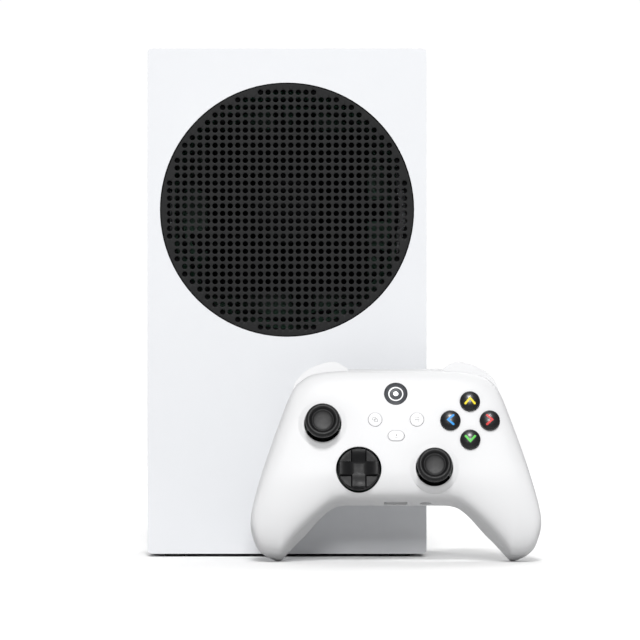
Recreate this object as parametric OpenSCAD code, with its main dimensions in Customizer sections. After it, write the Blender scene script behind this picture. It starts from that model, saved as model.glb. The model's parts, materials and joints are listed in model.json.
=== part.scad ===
// Upright game console with a wireless controller leaning against its vented face.
// Frame: +Z up, floor at z = 0, +Y away from the viewer, origin under the middle of the pair.

/* [Console case] */
// Width of the vented face
case_w = 151; // [140:1:170]
// Depth of the case without its side feet
case_d = 63.6; // [58:0.1:75]
// Height of the case without its stand feet
case_h = 273.4; // [270:0.1:290]
// Wall of the case
case_wall = 2.6; // [2.2:0.1:3]
// Depth of the vented half, from the face to the seam
vent_half_d = 44; // [40:1:46]

/* [Round vent] */
// Diameter of the round opening
vent_d = 137.6; // [136:0.1:142]
// Drop from the top of the case to the middle of the vent
vent_drop = 87.2; // [80:0.1:95]
// Spacing of the vent holes
hole_pitch = 4.1; // [4:0.05:4.2]
// Diameter of a vent hole
hole_d = 2.9; // [2.4:0.1:3.1]
// Holes along one side of the square grid that the circle trims
hole_rows = 32; // [28:2:32]

/* [Controller] */
// Sideways distance from the console's middle to the controller's middle
pad_dx = 58; // [50:1:70]
// How far the controller leans back
lean = 15; // [12:1:18]
// Half of the controller's width
pad_half_w = 76.9; // [76:0.1:78]
// Bulge of the front shell in front of the seam
front_bulge = 13.5; // [13:0.5:15]
// Bulge of the back shell behind the seam
back_bulge = 24; // [23:0.5:25]
// Wall of the controller's shells
pad_wall = 2.2; // [2:0.1:2.4]
// Gap between the controller's back and the console's face
lean_gap = 0.6; // [0.4:0.1:2]

/* [Controls] */
// Sideways place of the left stick
left_stick_u = -38.7; // [-40:0.1:-38]
// Height of the left stick, along the controller's face
left_stick_v = 71.5; // [70.8:0.1:72]
// Sideways place of the right stick
right_stick_u = 20.2; // [19:0.1:21]
// Height of the right stick, along the controller's face
right_stick_v = 47.6; // [47.3:0.1:48.6]
// Diameter of a stick's cap
cap_d = 18.6; // [18:0.1:19]
// Diameter of the direction pad
dpad_d = 22.8; // [22:0.1:22.8]
// Diameter of a letter button
letter_d = 10.5; // [10:0.1:10.8]
// Distance of a letter button from the middle of its group
letter_r = 10.4; // [10:0.1:11]
// Travel of a letter button
letter_travel = 1.6; // [1:0.1:1.6]
// Tilt of a stick, each way about each axis
stick_tilt = 15; // [10:1:15]

/* [Hidden] */
$fn = 48;

// --- Console places ---
foot_h = 1.6;
side_foot_h = 1.4;
console_x = -(pad_dx + pad_half_w - case_w / 2) / 2;
pad_x = console_x + pad_dx;
face_y = 4.07;
case_top = foot_h + case_h;
vent_z = case_top - vent_drop;
back_y = face_y + case_d;
seam_y = face_y + vent_half_d;
gap = 0.3;
boss_dx = case_w / 2 - 9.5;
boss_dz = 10;
screw_r = 1.5;
board_y = face_y + 46;
port_y = face_y + 35;
front_mid_y = face_y + case_d / 2;
power_z = case_top - 26;
power_r = 7;
sync_z = foot_h + 58;
sync_r = 2.6;
front_usb_z = foot_h + 36;
end_holes = [24, 4];
rear_holes = [22, 5];
vent_front_t = 2.2;
fan_r = 57.6;
fan_front_y = face_y + 8;
fan_d = 17;
rotor_axle_r = 2;

// Colours
shell_white = [0.93, 0.935, 0.95];
pad_white = [0.97, 0.97, 0.97];
vent_black = [0.11, 0.11, 0.115];
soft_black = [0.06, 0.06, 0.065];
steel = [0.72, 0.73, 0.75];
board_green = [0.06, 0.22, 0.14];
port_metal = [0.62, 0.63, 0.65];

// Puts a shape drawn in x and y up on the plane that faces the viewer, growing along +Y.
module upright(y) translate([0, y, 0]) rotate([90, 0, 0]) mirror([0, 0, 1]) children();

// A cylinder along +Y from y0, at x and z.
module rod_y(x, y0, z, r, l) translate([x, y0, z]) rotate([-90, 0, 0]) cylinder(r = r, h = l);

// A cylinder along +X from x0, at y and z.
module rod_x(x0, y, z, r, l) translate([x0, y, z]) rotate([0, 90, 0]) cylinder(r = r, h = l);

// A cylinder along +Z, at x and y.
module rod_z(x, y, z0, r, l) translate([x, y, z0]) cylinder(r = r, h = l);

// A flat rectangle with round corners, centred.
module round_rect(w, h, r) {
  square([w - 2 * r, h], center = true);
  square([w, h - 2 * r], center = true);
  for (i = [-1, 1], j = [-1, 1])
    translate([i * (w / 2 - r), j * (h / 2 - r)]) circle(r = r);
}

// A box given by its lowest corner and its size.
module block(corner, size) translate(corner) cube(size);

// The case's outer block between two depths, shrunk by an inset on its four narrow sides.
module case_block(y0, y1, inset) {
  translate([console_x, 0, foot_h + case_h / 2])
    upright(y0)
      linear_extrude(height = y1 - y0)
        round_rect(case_w - 2 * inset, case_h - 2 * inset, 2.4 - inset / 2);
}

// Places its children at the four screws of the case, as [x, z].
module at_bosses()
  for (i = [-1, 1], k = [foot_h + boss_dz, case_top - boss_dz])
    translate([console_x + i * boss_dx, 0, k]) children();

// Rows of round holes through the top and bottom ends.
module end_grids() {
  for (i = [0 : end_holes[0] - 1], j = [0 : end_holes[1] - 1], z = [foot_h - 1, case_top - 5])
    rod_z(console_x + (i - (end_holes[0] - 1) / 2) * hole_pitch,
          face_y + 14 + j * hole_pitch, z, hole_d / 2, 6);
}

// Rows of round holes through the rear side.
module rear_grid()
  for (i = [0 : rear_holes[0] - 1], j = [0 : rear_holes[1] - 1])
    rod_x(console_x + case_w / 2 - 5, face_y + 14 + j * hole_pitch,
          case_top - 16 - i * hole_pitch, hole_d / 2, 6);

// Sockets on the rear side: [height of the middle, length, thickness].
power_in = [foot_h + 24, 17, 9];
hdmi = [foot_h + 50, 15.4, 7];
storage = [foot_h + 80, 33, 9];
usb_low = [foot_h + 108, 14.6, 7.4];
usb_high = [foot_h + 128, 14.6, 7.4];
ethernet = [foot_h + 150, 16, 13];
front_usb = [front_usb_z, 14.6, 7.4];
socket_depth = 17;
socket_set_back = 0.8;

// The window in the case's wall for one socket.
module socket_window(socket, y, side)
  block([console_x + side * (case_w / 2 - 2) - 4, y - socket[2] / 2 - gap,
         socket[0] - socket[1] / 2 - gap],
        [8, socket[2] + 2 * gap, socket[1] + 2 * gap]);

// A metal socket with a mouth, a wall all round and a tongue set back from the mouth.
module socket_body(socket, y, side, wall, tongue_t, tongue_back) {
  x_mouth = console_x + side * (case_w / 2 - socket_set_back);
  x_low = side > 0 ? x_mouth - socket_depth : x_mouth;
  hollow = socket_depth - 3;
  hollow_x = side > 0 ? x_mouth - hollow : x_mouth - 1;
  tongue_l = hollow - tongue_back + 1;
  tongue_x = side > 0 ? x_mouth - hollow - 1 : x_mouth + tongue_back;
  difference() {
    block([x_low, y - socket[2] / 2, socket[0] - socket[1] / 2],
          [socket_depth, socket[2], socket[1]]);
    block([hollow_x, y - socket[2] / 2 + wall, socket[0] - socket[1] / 2 + wall],
          [hollow + 1, socket[2] - 2 * wall, socket[1] - 2 * wall]);
  }
  if (tongue_t > 0)
    block([tongue_x, y - tongue_t / 2, socket[0] - socket[1] / 2 + wall + 1.4],
          [tongue_l, tongue_t, socket[1] - 2 * wall - 2.8]);
}

// A leg that carries a socket on the board.
module socket_leg(socket, y)
  block([console_x + case_w / 2 - socket_set_back - socket_depth, y + socket[2] / 2 - 0.01,
         socket[0] - socket[1] / 2 + 1],
        [socket_depth - 4, board_y - y - socket[2] / 2 + 0.01, socket[1] - 2]);

module case_vent_half() color(shell_white) difference() {
  union() {
    difference() {
      case_block(face_y, seam_y - 0.15, 0);
      case_block(face_y + case_wall, seam_y + 1, case_wall);
    }
    at_bosses() rod_y(0, face_y + case_wall - 0.01, 0, 4, vent_half_d - case_wall - 0.14);
  }
  rod_y(console_x, face_y - 1, vent_z, vent_d / 2, 6);
  at_bosses() rod_y(0, seam_y - 14, 0, screw_r + 0.05, 15);
  end_grids();
  rear_grid();
  rod_x(console_x - case_w / 2 - 1, front_mid_y, power_z, power_r + 0.25, 6);
  rod_x(console_x - case_w / 2 - 1, front_mid_y, sync_z, sync_r + 0.2, 6);
  socket_window(front_usb, front_mid_y, -1);
  for (s = [power_in, hdmi, storage, usb_low, usb_high, ethernet]) socket_window(s, port_y, 1);
}

module case_base_half() color(shell_white) difference() {
  union() {
    difference() {
      case_block(seam_y + 0.15, back_y, 0);
      case_block(seam_y - 1, back_y - case_wall, case_wall);
    }
    at_bosses() rod_y(0, seam_y + 0.16, 0, 4.6, back_y - seam_y - 1);
  }
  at_bosses() {
    rod_y(0, seam_y - 1, 0, screw_r + 0.3, 30);
    rod_y(0, seam_y + 5, 0, 3.4, 30);
  }
}

module case_screws() color(steel) at_bosses() difference() {
  union() {
    rod_y(0, seam_y - 12, 0, screw_r, 17.1);
    rod_y(0, seam_y + 5.02, 0, 3, 2.4);
  }
  translate([0, seam_y + 6.4, 0]) rotate([-90, 0, 0]) cylinder(r = 1.4, h = 2, $fn = 6);
}

// Centres of the vent's holes, on a square grid trimmed by a circle.
vent_trim = (hole_rows + 0.1) / 2;
vent_holes = [
  for (i = [0 : hole_rows - 1], j = [0 : hole_rows - 1])
    let (a = i - (hole_rows - 1) / 2, b = j - (hole_rows - 1) / 2)
      if (sqrt(a * a + b * b) < vent_trim) [a * hole_pitch, b * hole_pitch]];

module vent_grille() color(vent_black)
  translate([console_x, 0, vent_z]) upright(face_y + 0.4)
    linear_extrude(height = vent_front_t) difference() {
      circle(r = vent_d / 2 - 0.6);
      for (p = vent_holes) translate(p) circle(r = hole_d / 2, $fn = 16);
    }

module vent_tray() color(soft_black) difference() {
  rod_y(console_x, face_y + case_wall + 0.02, vent_z, vent_d / 2 + 4, 4.5);
  rod_y(console_x, face_y, vent_z, vent_d / 2 - 4.5, 9);
}

module fan_frame() color(soft_black) translate([console_x, fan_front_y, vent_z]) {
  difference() {
    rod_y(0, 0, 0, fan_r + 3, fan_d);
    rod_y(0, -1, 0, fan_r, fan_d + 2);
  }
  difference() {
    union() {
      rod_y(0, fan_d - 3, 0, 16, 3);
      for (a = [25, 145, 265]) rotate([0, a, 0]) block([10, fan_d - 2.6, -2.5], [fan_r - 9, 2.2, 5]);
    }
    rod_y(0, fan_d - 4, 0, rotor_axle_r + 0.05, 6);
  }
}

module fan_rotor() color(vent_black) translate([console_x, fan_front_y, vent_z]) {
  difference() {
    rod_y(0, 1, 0, 18, 12.6);
    rod_y(0, 2.2, 0, 15.8, 13);
  }
  rod_y(0, 2.1, 0, rotor_axle_r, 14.4);
  for (a = [0 : 40 : 359]) rotate([0, a, 0]) translate([36, 7.4, 0]) rotate([38, 0, 0])
    cube([37.4, 1.4, 14], center = true);
}

module heatsink() color(steel) {
  block([console_x - 44, face_y + 38, vent_z - 44], [88, 5, 88]);
  for (i = [0 : 21])
    block([console_x - 43.6 + i * 4.1, face_y + 26.4, vent_z - 44], [1.1, 11.7, 88]);
}

module main_board() color(board_green) difference() {
  block([console_x - 64, board_y, foot_h + 17], [124, 1.6, 240]);
  for (i = [-1, 1], z = [foot_h + 24, case_top - 24])
    rod_y(console_x + i * 54, board_y - 1, z, 1.7, 4);
}

module chassis_shield() color(steel) difference() {
  union() {
    block([console_x - 65, board_y + 5, foot_h + 18], [130, 0.8, 238]);
    for (i = [-1, 1], z = [foot_h + 24, case_top - 24])
      rod_y(console_x + i * 54, board_y + 1.62, z, 3, 3.4);
  }
  for (k = [0 : 7]) block([console_x - 40, board_y + 4, foot_h + 30 + k * 27], [80, 3, 8]);
}

module power_supply() color([0.16, 0.16, 0.17]) difference() {
  block([console_x - 54, face_y + 12, foot_h + 18], [98, 31.5, 88]);
  for (k = [0 : 8]) block([console_x - 45, face_y + 11, foot_h + 26 + k * 9], [80, 2, 3]);
}

module ssd_module() color(board_green)
  block([console_x - 58, board_y - 2.6, foot_h + 112], [30, 2.4, 22]);

module power_button() color(shell_white) {
  rod_x(console_x - case_w / 2 + 0.2, front_mid_y, power_z, power_r, 5);
  rod_x(console_x - case_w / 2 + case_wall + 0.4, front_mid_y, power_z, power_r + 1.5, 1.4);
}

module sync_button() color(shell_white) {
  rod_x(console_x - case_w / 2 + 0.2, front_mid_y, sync_z, sync_r, 5);
  rod_x(console_x - case_w / 2 + case_wall + 0.4, front_mid_y, sync_z, sync_r + 1, 1.2);
}

module front_usb_port() color(port_metal) socket_body(front_usb, front_mid_y, -1, 1, 2, 5.4);

module hdmi_port() color(port_metal) {
  socket_body(hdmi, port_y, 1, 1, 1.2, 5.4);
  socket_leg(hdmi, port_y);
}

module rear_usb_ports() color(port_metal) for (s = [usb_low, usb_high]) {
  socket_body(s, port_y, 1, 1, 2, 5.4);
  socket_leg(s, port_y);
}

module ethernet_port() color(port_metal) {
  socket_body(ethernet, port_y, 1, 2, 0, 0);
  socket_leg(ethernet, port_y);
}

module storage_slot() color(soft_black) {
  socket_body(storage, port_y, 1, 1.5, 2, 8);
  socket_leg(storage, port_y);
}

module power_inlet() color(soft_black) {
  socket_body(power_in, port_y, 1, 1.4, 0, 0);
  for (k = [-1, 1])
    rod_x(console_x + case_w / 2 - socket_depth, port_y, power_in[0] + k * 4.2, 1.1, 9);
  socket_leg(power_in, port_y);
}

module stand_feet() color(soft_black)
  for (i = [-1, 1], y = [face_y + 9, back_y - 9])
    rod_z(console_x + i * 61, y, 0, 5.6, foot_h - 0.01);

module side_feet() color(soft_black)
  for (i = [-1, 1], k = [-1, 1])
    rod_y(console_x + i * 56, back_y + 0.01, foot_h + case_h / 2 + k * 110, 8, side_foot_h);

// --- Controller places. u runs across its face, v up the face, w out of the face ---
// Right half of the outline's upper edge, from the middle to the widest point, as [u, v].
outline_top = [
  [0, 99.8], [24, 99.8], [32, 99.5], [38, 98.9], [43, 98], [47, 96.9], [50.5, 95.4],
  [53.6, 93.2], [56.6, 87.9], [60.9, 76.7], [66.3, 61.6], [71.7, 44.6], [75, 32.6],
  [76.6, 24.6], [pad_half_w, 20.6]];
// Right half of its lower edge, over the gap between the grips, round the tip and up.
outline_bottom = [
  [0, 32.9], [22, 32.9], [27.5, 32.8], [32.3, 31.8], [36.1, 29.5], [40.4, 26.2], [45.8, 21.4],
  [51.2, 16.2], [56.6, 10.1], [60.4, 5.7], [62, 5], [65.2, 5.2], [69.6, 6.2], [73.4, 9.2],
  [75.8, 15], [pad_half_w, 20.6]];
station_end = 0.97;
stations = 26;
ring_steps = 16;
seam_trim = 0.4;
grip_droop = 8;
droop_v = 45;
inner_bulge = 3.6;

function clamp(x, lo, hi) = max(lo, min(hi, x));
function smooth(t) = t * t * (3 - 2 * t);

// Where a sideways place lies on the cosine spacing, from 0 in the middle to 1 at the edge.
function share(u) = asin(min(1, u / pad_half_w)) / 90;

// Slope at point i of a curve through the points p.
function slope(p, i) = let (a = max(0, i - 1), b = min(len(p) - 1, i + 1))
  (p[b][1] - p[a][1]) / (p[b][0] - p[a][0]);

// A smooth curve through the points p, read at x.
function curve(p, x) =
  let (i = max([for (k = [0 : len(p) - 2]) p[k][0] <= x ? k : 0]),
       d = p[i + 1][0] - p[i][0], t = (x - p[i][0]) / d)
  (2 * t * t * t - 3 * t * t + 1) * p[i][1] + (t * t * t - 2 * t * t + t) * d * slope(p, i)
  + (3 * t * t - 2 * t * t * t) * p[i + 1][1] + (t * t * t - t * t) * d * slope(p, i + 1);

top_curve = [for (p = outline_top) [share(p[0]), p[1]]];
bottom_curve = [for (p = outline_bottom) [share(p[0]), p[1]]];
function v_top(s) = curve(top_curve, s);
function v_bottom(s) = curve(bottom_curve, s);

// The seam between the shells falls away from the face towards the grips' tips.
function seam_w(v) = -grip_droop * pow(clamp((droop_v - v) / droop_v, 0, 1.2), 1.5);

// How square a slice is: 4.6 across the middle, rounder in the grips.
function squareness(s) = 4.6 - 2 * smooth(clamp((s - 0.32) / 0.4, 0, 1));

// Unit slice of squareness n at angle a.
function slice(a, n) = [cos(a), sin(a)] / pow(pow(abs(cos(a)), n) + pow(abs(sin(a)), n), 1 / n);

// Angles round a slice, closer together at its corners.
function ring_angle(j, trim) =
  let (t = trim + (180 - 2 * trim) * j / ring_steps) t + 5 * sin(4 * t);

// Point of a half shell at share s from -1 to 1 and angle a from 0 at the top seam to 180
// at the bottom seam; face is 1 for the front and -1 for the back, inset goes inwards.
function shell_point(s, a, face, inset) =
  let (r = abs(s), unit = slice(a, squareness(r)),
       full = (v_top(r) - v_bottom(r)) / 2,
       mid = (v_top(r) + v_bottom(r)) / 2,
       half = max(full - inset * (1 + 0.6 * r), 0.35 * full),
       bulge = (face > 0 ? front_bulge : back_bulge) * sqrt(1 - r * r * r * r),
       depth = max(bulge - inset, 0.3 * bulge),
       belly = face < 0 ? inner_bulge * pow(sin(clamp(a - 90, 0, 90) * 2), 2)
                          * smooth(clamp((r - 0.3) / 0.15, 0, 1))
                          * (1 - smooth(clamp((r - 0.6) / 0.2, 0, 1))) : 0,
       v = mid + half * unit[0])
  [sign(s) * (pad_half_w - inset) * sin(90 * r), v - belly,
   seam_w(v) + face * depth * unit[1]];

function grid(face, inset, trim) = [
  for (i = [-stations : stations]) [
    for (j = [0 : ring_steps])
      shell_point(i / stations * station_end, ring_angle(j, trim), face, inset)]];

// Faces of a closed wall between an outer and an inner grid of the same size.
function wall_faces(n, m) =
  let (o = n * m)
  concat(
    [for (i = [0 : n - 2], j = [0 : m - 2]) [i * m + j, i * m + j + 1, (i + 1) * m + j + 1]],
    [for (i = [0 : n - 2], j = [0 : m - 2]) [i * m + j, (i + 1) * m + j + 1, (i + 1) * m + j]],
    [for (i = [0 : n - 2], j = [0 : m - 2])
      [o + i * m + j, o + (i + 1) * m + j + 1, o + i * m + j + 1]],
    [for (i = [0 : n - 2], j = [0 : m - 2])
      [o + i * m + j, o + (i + 1) * m + j, o + (i + 1) * m + j + 1]],
    [for (i = [0 : n - 2]) [i * m, (i + 1) * m, o + (i + 1) * m]],
    [for (i = [0 : n - 2]) [i * m, o + (i + 1) * m, o + i * m]],
    [for (i = [0 : n - 2]) [i * m + m - 1, o + (i + 1) * m + m - 1, (i + 1) * m + m - 1]],
    [for (i = [0 : n - 2]) [i * m + m - 1, o + i * m + m - 1, o + (i + 1) * m + m - 1]],
    [for (j = [0 : m - 2]) [j, o + j + 1, j + 1]],
    [for (j = [0 : m - 2]) [j, o + j, o + j + 1]],
    [for (j = [0 : m - 2]) let (k = (n - 1) * m + j) [k, k + 1, o + k + 1]],
    [for (j = [0 : m - 2]) let (k = (n - 1) * m + j) [k, o + k + 1, o + k]]);

function flat(rows) = [for (r = rows) each r];
function flipped(faces) = [for (f = faces) [f[2], f[1], f[0]]];

// A hollow half of the controller's body.
module half_shell(face, wall) {
  faces = wall_faces(2 * stations + 1, ring_steps + 1);
  polyhedron(points = concat(flat(grid(face, 0, seam_trim)), flat(grid(face, wall, seam_trim))),
             faces = face > 0 ? flipped(faces) : faces, convexity = 8);
}

// A half of the body filled in.
module solid_half(face) {
  n = 2 * stations + 1;
  m = ring_steps + 1;
  side = concat(
    [for (i = [0 : n - 2], j = [0 : m - 2]) [i * m + j, i * m + j + 1, (i + 1) * m + j + 1]],
    [for (i = [0 : n - 2], j = [0 : m - 2]) [i * m + j, (i + 1) * m + j + 1, (i + 1) * m + j]],
    [for (i = [0 : n - 2]) [i * m, (i + 1) * m, (i + 1) * m + m - 1]],
    [for (i = [0 : n - 2]) [i * m, (i + 1) * m + m - 1, i * m + m - 1]],
    [for (j = [1 : m - 2]) [0, j + 1, j]],
    [for (j = [1 : m - 2]) let (k = (n - 1) * m) [k, k + j, k + j + 1]]);
  polyhedron(points = flat(grid(face, 0.05, seam_trim)), faces = face > 0 ? flipped(side) : side,
             convexity = 8);
}

// Lowest point of the leaning controller, which sets how high it stands.
function stood(p) = p[1] * cos(lean) + p[2] * sin(lean);
pad_z = -min([for (p = concat(flat(grid(1, 0, seam_trim)), flat(grid(-1, 0, seam_trim)))) stood(p)]);

// The trigger's side outline, as [v, w], from over the hinge out to its tip and back inside.
trigger_hinge = [97.4, -17.4];
trigger_hinge_r = 2.5;
trigger_w = 22;
trigger_u = 38.6;
trigger_outer = [
  [99, -14.9], [103, -14.9], [104.8, -16.4], [105.8, -20], [105.7, -25], [103.9, -30],
  [100.6, -34.2], [96.2, -37], [92.6, -37.9], [91.6, -37.4]];
trigger_inner = [
  [92.2, -35.8], [95.6, -34.6], [99.2, -31.8], [102, -28], [103.4, -24], [103.5, -20],
  [102.4, -17.4], [99, -16.6]];
trigger_cheek = [
  [91.2, -33], [90, -25], [90.4, -19], [94.6, -15.6], [97, -15]];
trigger_reach = max([for (p = trigger_outer) p[0] * sin(lean) - p[1] * cos(lean)]);
pad_y = face_y - lean_gap - trigger_reach;

// Sets a shape drawn in u, v and w in its leaning place.
module pad_place() translate([pad_x, pad_y, pad_z]) rotate([90 - lean, 0, 0]) children();

// A cylinder along w.
module rod_w(u, v, w0, r, l) translate([u, v, w0]) cylinder(r = r, h = l);

// A cylinder along u.
module rod_u(u0, v, w, r, l) translate([u0, v, w]) rotate([0, 90, 0]) cylinder(r = r, h = l);

// A shape drawn in v and w, carried along u.
module along_u(u0, l) translate([u0, 0, 0]) rotate([90, 0, 90]) linear_extrude(height = l)
  children();

face_w = 13.3;
pivot_w = 3.3;
dpad_at = [-19.7, 47.1];
letters_at = [39.2, 72.6];
home_at = [0, 86.4];
view_at = [-11, 73.2];
menu_at = [11.1, 73.2];
share_at = [0.1, 64.5];
home_d = 12.1;
small_d = 7.2;
share_size = [8.6, 5.4];
home_tilt = 7;
stick_hole_r = 9.8;
letter_places = [for (a = [270, 0, 180, 90])
  letters_at + letter_r * [cos(a), sin(a)]];
board_w = -7;
mat_w = board_w + 1.62;
stem_w = -1.5;
front_posts = [[-60, 22], [60, 22], [-58, 62], [58, 62]];
band_depth = 14.4;
band_drop = 7;
bumper_u = [25.3, 53.4];
door_size = [54, 44];
door_v = 67;

// The band along the upper edge that the bridge and the bumpers fill, as seen from the front.
module band_outline()
  polygon(concat(
    [for (u = [-54 : 6 : 54]) [u, v_top(share(abs(u))) - band_drop]],
    [[60, 100], [60, 120], [-60, 120], [-60, 100]]));

module small_slot(size) {
  square([size[0] - size[1], size[1]], center = true);
  for (k = [-1, 1]) translate([k * (size[0] - size[1]) / 2, 0]) circle(r = size[1] / 2);
}

module pad_front_shell() color(pad_white) pad_place() difference() {
  union() {
    half_shell(1, pad_wall);
    for (p = [[left_stick_u, left_stick_v], [right_stick_u, right_stick_v]])
      rod_w(p[0], p[1], face_w - 2.2, stick_hole_r + 1.2, 2.8);
    for (p = front_posts) rod_w(p[0], p[1], -3, 3, p[1] > 40 ? 13.6 : 11);
  }
  for (p = [[left_stick_u, left_stick_v], [right_stick_u, right_stick_v]])
    rod_w(p[0], p[1], 5, stick_hole_r, 20);
  rod_w(dpad_at[0], dpad_at[1], 5, 12.05, 20);
  for (p = letter_places) rod_w(p[0], p[1], 5, letter_d / 2 + 0.2, 20);
  for (p = [view_at, menu_at]) rod_w(p[0], p[1], 5, small_d / 2 + 0.2, 20);
  translate([home_at[0], home_at[1], 0]) rotate([-home_tilt, 0, 0])
    rod_w(0, 0, 5, home_d / 2 + 0.2, 20);
  translate([share_at[0], share_at[1], 5]) linear_extrude(height = 20)
    small_slot(share_size + [0.4, 0.4]);
  for (p = front_posts) rod_w(p[0], p[1], -4, 1.05, 8);
  for (p = [[11, 35], [-11, 35]]) rod_w(p[0], p[1], -20, 0.8, 1);
}

// The pocket a trigger swings in; grow makes the wall round it.
module trigger_well(grow) for (k = [-1, 1])
  along_u(k * trigger_u - trigger_w / 2 - 0.6 - grow, trigger_w + 1.2 + 2 * grow)
    offset(delta = grow)
      polygon([[83.6, -60], [83.6, -20], [86.4, -12], [90, -7.6], [120, -7.6], [120, -60]]);

module pad_back_shell() color(pad_white) pad_place() difference() {
  union() {
    half_shell(-1, pad_wall);
    intersection() {
      union() {
        for (p = front_posts) rod_w(p[0], p[1], -30, 3.8, 26.8);
        trigger_well(1.6);
      }
      solid_half(-1);
    }
  }
  translate([0, 0, -band_depth]) linear_extrude(height = 30) band_outline();
  trigger_well(0);
  for (k = [-1, 1])
    rod_u(k * trigger_u - 20, trigger_hinge[0], trigger_hinge[1], 1.52, 40);
  translate([-door_size[0] / 2, door_v - door_size[1] / 2, -40])
    cube([door_size[0], door_size[1], 34]);
  for (p = front_posts) {
    rod_w(p[0], p[1], -40, 1.3, 50);
    rod_w(p[0], p[1], -40, 2.7, 28);
  }
  translate([0, 34, -7]) rotate([-90, 0, 0]) {
    translate([0, 0, -6]) linear_extrude(height = 12) round_rect(12.4, 6.4, 1);
    translate([16, 0, -6]) cylinder(r = 3, h = 12);
  }
}

module battery_door() color(pad_white) pad_place() intersection() {
  half_shell(-1, pad_wall - 0.2);
  translate([-door_size[0] / 2 + 0.3, door_v - door_size[1] / 2 + 0.3, -40])
    cube([door_size[0] - 0.6, door_size[1] - 0.6, 34]);
}

module battery_cells() color(steel) pad_place() for (k = [-1, 1]) {
  rod_u(-25, door_v + k * 7.6, -14.2, 7, 48.5);
  rod_u(23.5, door_v + k * 7.6, -14.2, 2.6, 1.2);
}

module pad_bridge() color(pad_white) pad_place() difference() {
  union() {
    along_u(-bumper_u[0] + 0.4, 2 * bumper_u[0] - 0.8) polygon([
      [97.4, -0.4], [103, -0.4], [104.6, -1.2], [105.7, -3], [105.9, -6], [105, -10],
      [102.8, -13.9], [98.4, -13.9], [98.4, -13], [101.6, -12.4], [103, -9.4], [103.4, -6],
      [102, -2.8], [97.4, -2.2]]);
    for (k = [-1, 1]) {
      translate([k > 0 ? 22 : -30, 101.6, -13.9]) cube([8, 4.6, 1.2]);
      rod_w(k * 28.2, 104.9, -13, 0.85, 5);
    }
  }
  translate([0, 96, -9]) rotate([-90, 0, 0]) linear_extrude(height = 14)
    small_slot([9.6, 3.8]);
  translate([15, 96, -8.5]) rotate([-90, 0, 0]) cylinder(r = 2.2, h = 14);
}

module bumper() difference() {
  translate([0, 0, -12.4]) linear_extrude(height = 11.9) polygon([
    [25.3, 105.2], [27, 106.2], [29.5, 107.8], [33, 108.9], [36, 108.7], [39.3, 107.8],
    [42.6, 106.7], [45.8, 105.1], [48.2, 103.5], [50.1, 101.8], [51.9, 99.8], [53.4, 97.6],
    [54.4, 94.8], [54.8, 91.6], [53.6, 90.4], [51.4, 92.4], [49, 93.8], [46, 95], [42, 96.2],
    [37, 97.1], [31, 97.6], [25.3, 97.8]]);
  rod_w(28.2, 104.9, -14, 0.9, 7);
}

module bumper_right() color(pad_white) pad_place() bumper();
module bumper_left() color(pad_white) pad_place() mirror([1, 0, 0]) bumper();

module trigger() difference() {
  union() {
    along_u(trigger_u - trigger_w / 2, trigger_w) polygon(concat(trigger_outer, trigger_inner));
    for (u = [trigger_u - trigger_w / 2, trigger_u + trigger_w / 2 - 1.8])
      along_u(u, 1.8) polygon(concat(trigger_outer, trigger_cheek));
    rod_u(trigger_u - trigger_w / 2, trigger_hinge[0], trigger_hinge[1], trigger_hinge_r,
          trigger_w);
  }
  rod_u(trigger_u - 20, trigger_hinge[0], trigger_hinge[1], 1.55, 40);
}

module trigger_right() color(pad_white) pad_place() trigger();
module trigger_left() color(pad_white) pad_place() mirror([1, 0, 0]) trigger();

module trigger_shafts() color(steel) pad_place() for (k = [-1, 1])
  rod_u(k * trigger_u - 13, trigger_hinge[0], trigger_hinge[1], 1.5, 26);

module trigger_springs() color(steel) pad_place() for (k = [-1, 1])
  translate([k * trigger_u, 92, -17.4]) difference() {
    cylinder(r = 2.5, h = 9);
    translate([0, 0, -1]) cylinder(r = 1.6, h = 13);
    for (i = [0 : 3]) translate([0, 0, 1 + i * 1.8]) difference() {
      cylinder(r = 4, h = 0.9);
      translate([0, 0, -1]) cylinder(r = 1.9, h = 3);
    }
  }

// --- Sticks, drawn about their own pivot ---
module stick_place(u, v) pad_place() translate([u, v, pivot_w]) children();

module stick_base() difference() {
  union() {
    translate([-8.5, -8.5, board_w + 1.62 - pivot_w]) cube([17, 17, 4]);
    for (k = [-1, 1]) translate([k * 7.5 - 0.7, -2, -5]) cube([1.4, 4, 6.8]);
  }
  rod_u(-10, 0, 0, 1.25, 20);
}

module stick_yoke() {
  difference() {
    translate([-6.2, -4.6, -1.5]) cube([12.4, 9.2, 3]);
    translate([-5, -3, -2]) cube([10, 6, 4]);
    translate([0, -6, 0]) rotate([-90, 0, 0]) cylinder(r = 1.05, h = 12);
  }
  for (k = [-1, 1]) rod_u(k > 0 ? 6.1 : -8.1, 0, 0, 1.2, 2);
}

module stick_pivot() difference() {
  union() {
    translate([-2.9, -2.8, -1.8]) cube([5.8, 5.6, 3.6]);
    translate([0, -4.4, 0]) rotate([-90, 0, 0]) cylinder(r = 1, h = 8.8);
  }
  rod_w(0, 0, -3, 2.05, 6);
}

module stick_top() {
  rod_w(0, 0, -2.2, 2, 14);
  difference() {
    sphere(r = 11, $fn = 64);
    sphere(r = 10.1, $fn = 64);
    translate([-14, -14, -20]) cube([28, 28, 27.7]);
  }
  rotate_extrude() polygon([
    [0, 11.2], [3.6, 11.2], [3.6, 15.2], [cap_d / 2 - 1.2, 15.2], [cap_d / 2 - 0.3, 15.8],
    [cap_d / 2, 16.8], [cap_d / 2 - 0.2, 18.2], [cap_d / 2 - 1.1, 19.4],
    [cap_d / 2 - 2.4, 20.1], [cap_d / 2 - 3, 20], [cap_d / 2 - 4.2, 18.9], [3, 18.2],
    [0, 18]]);
}

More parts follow.
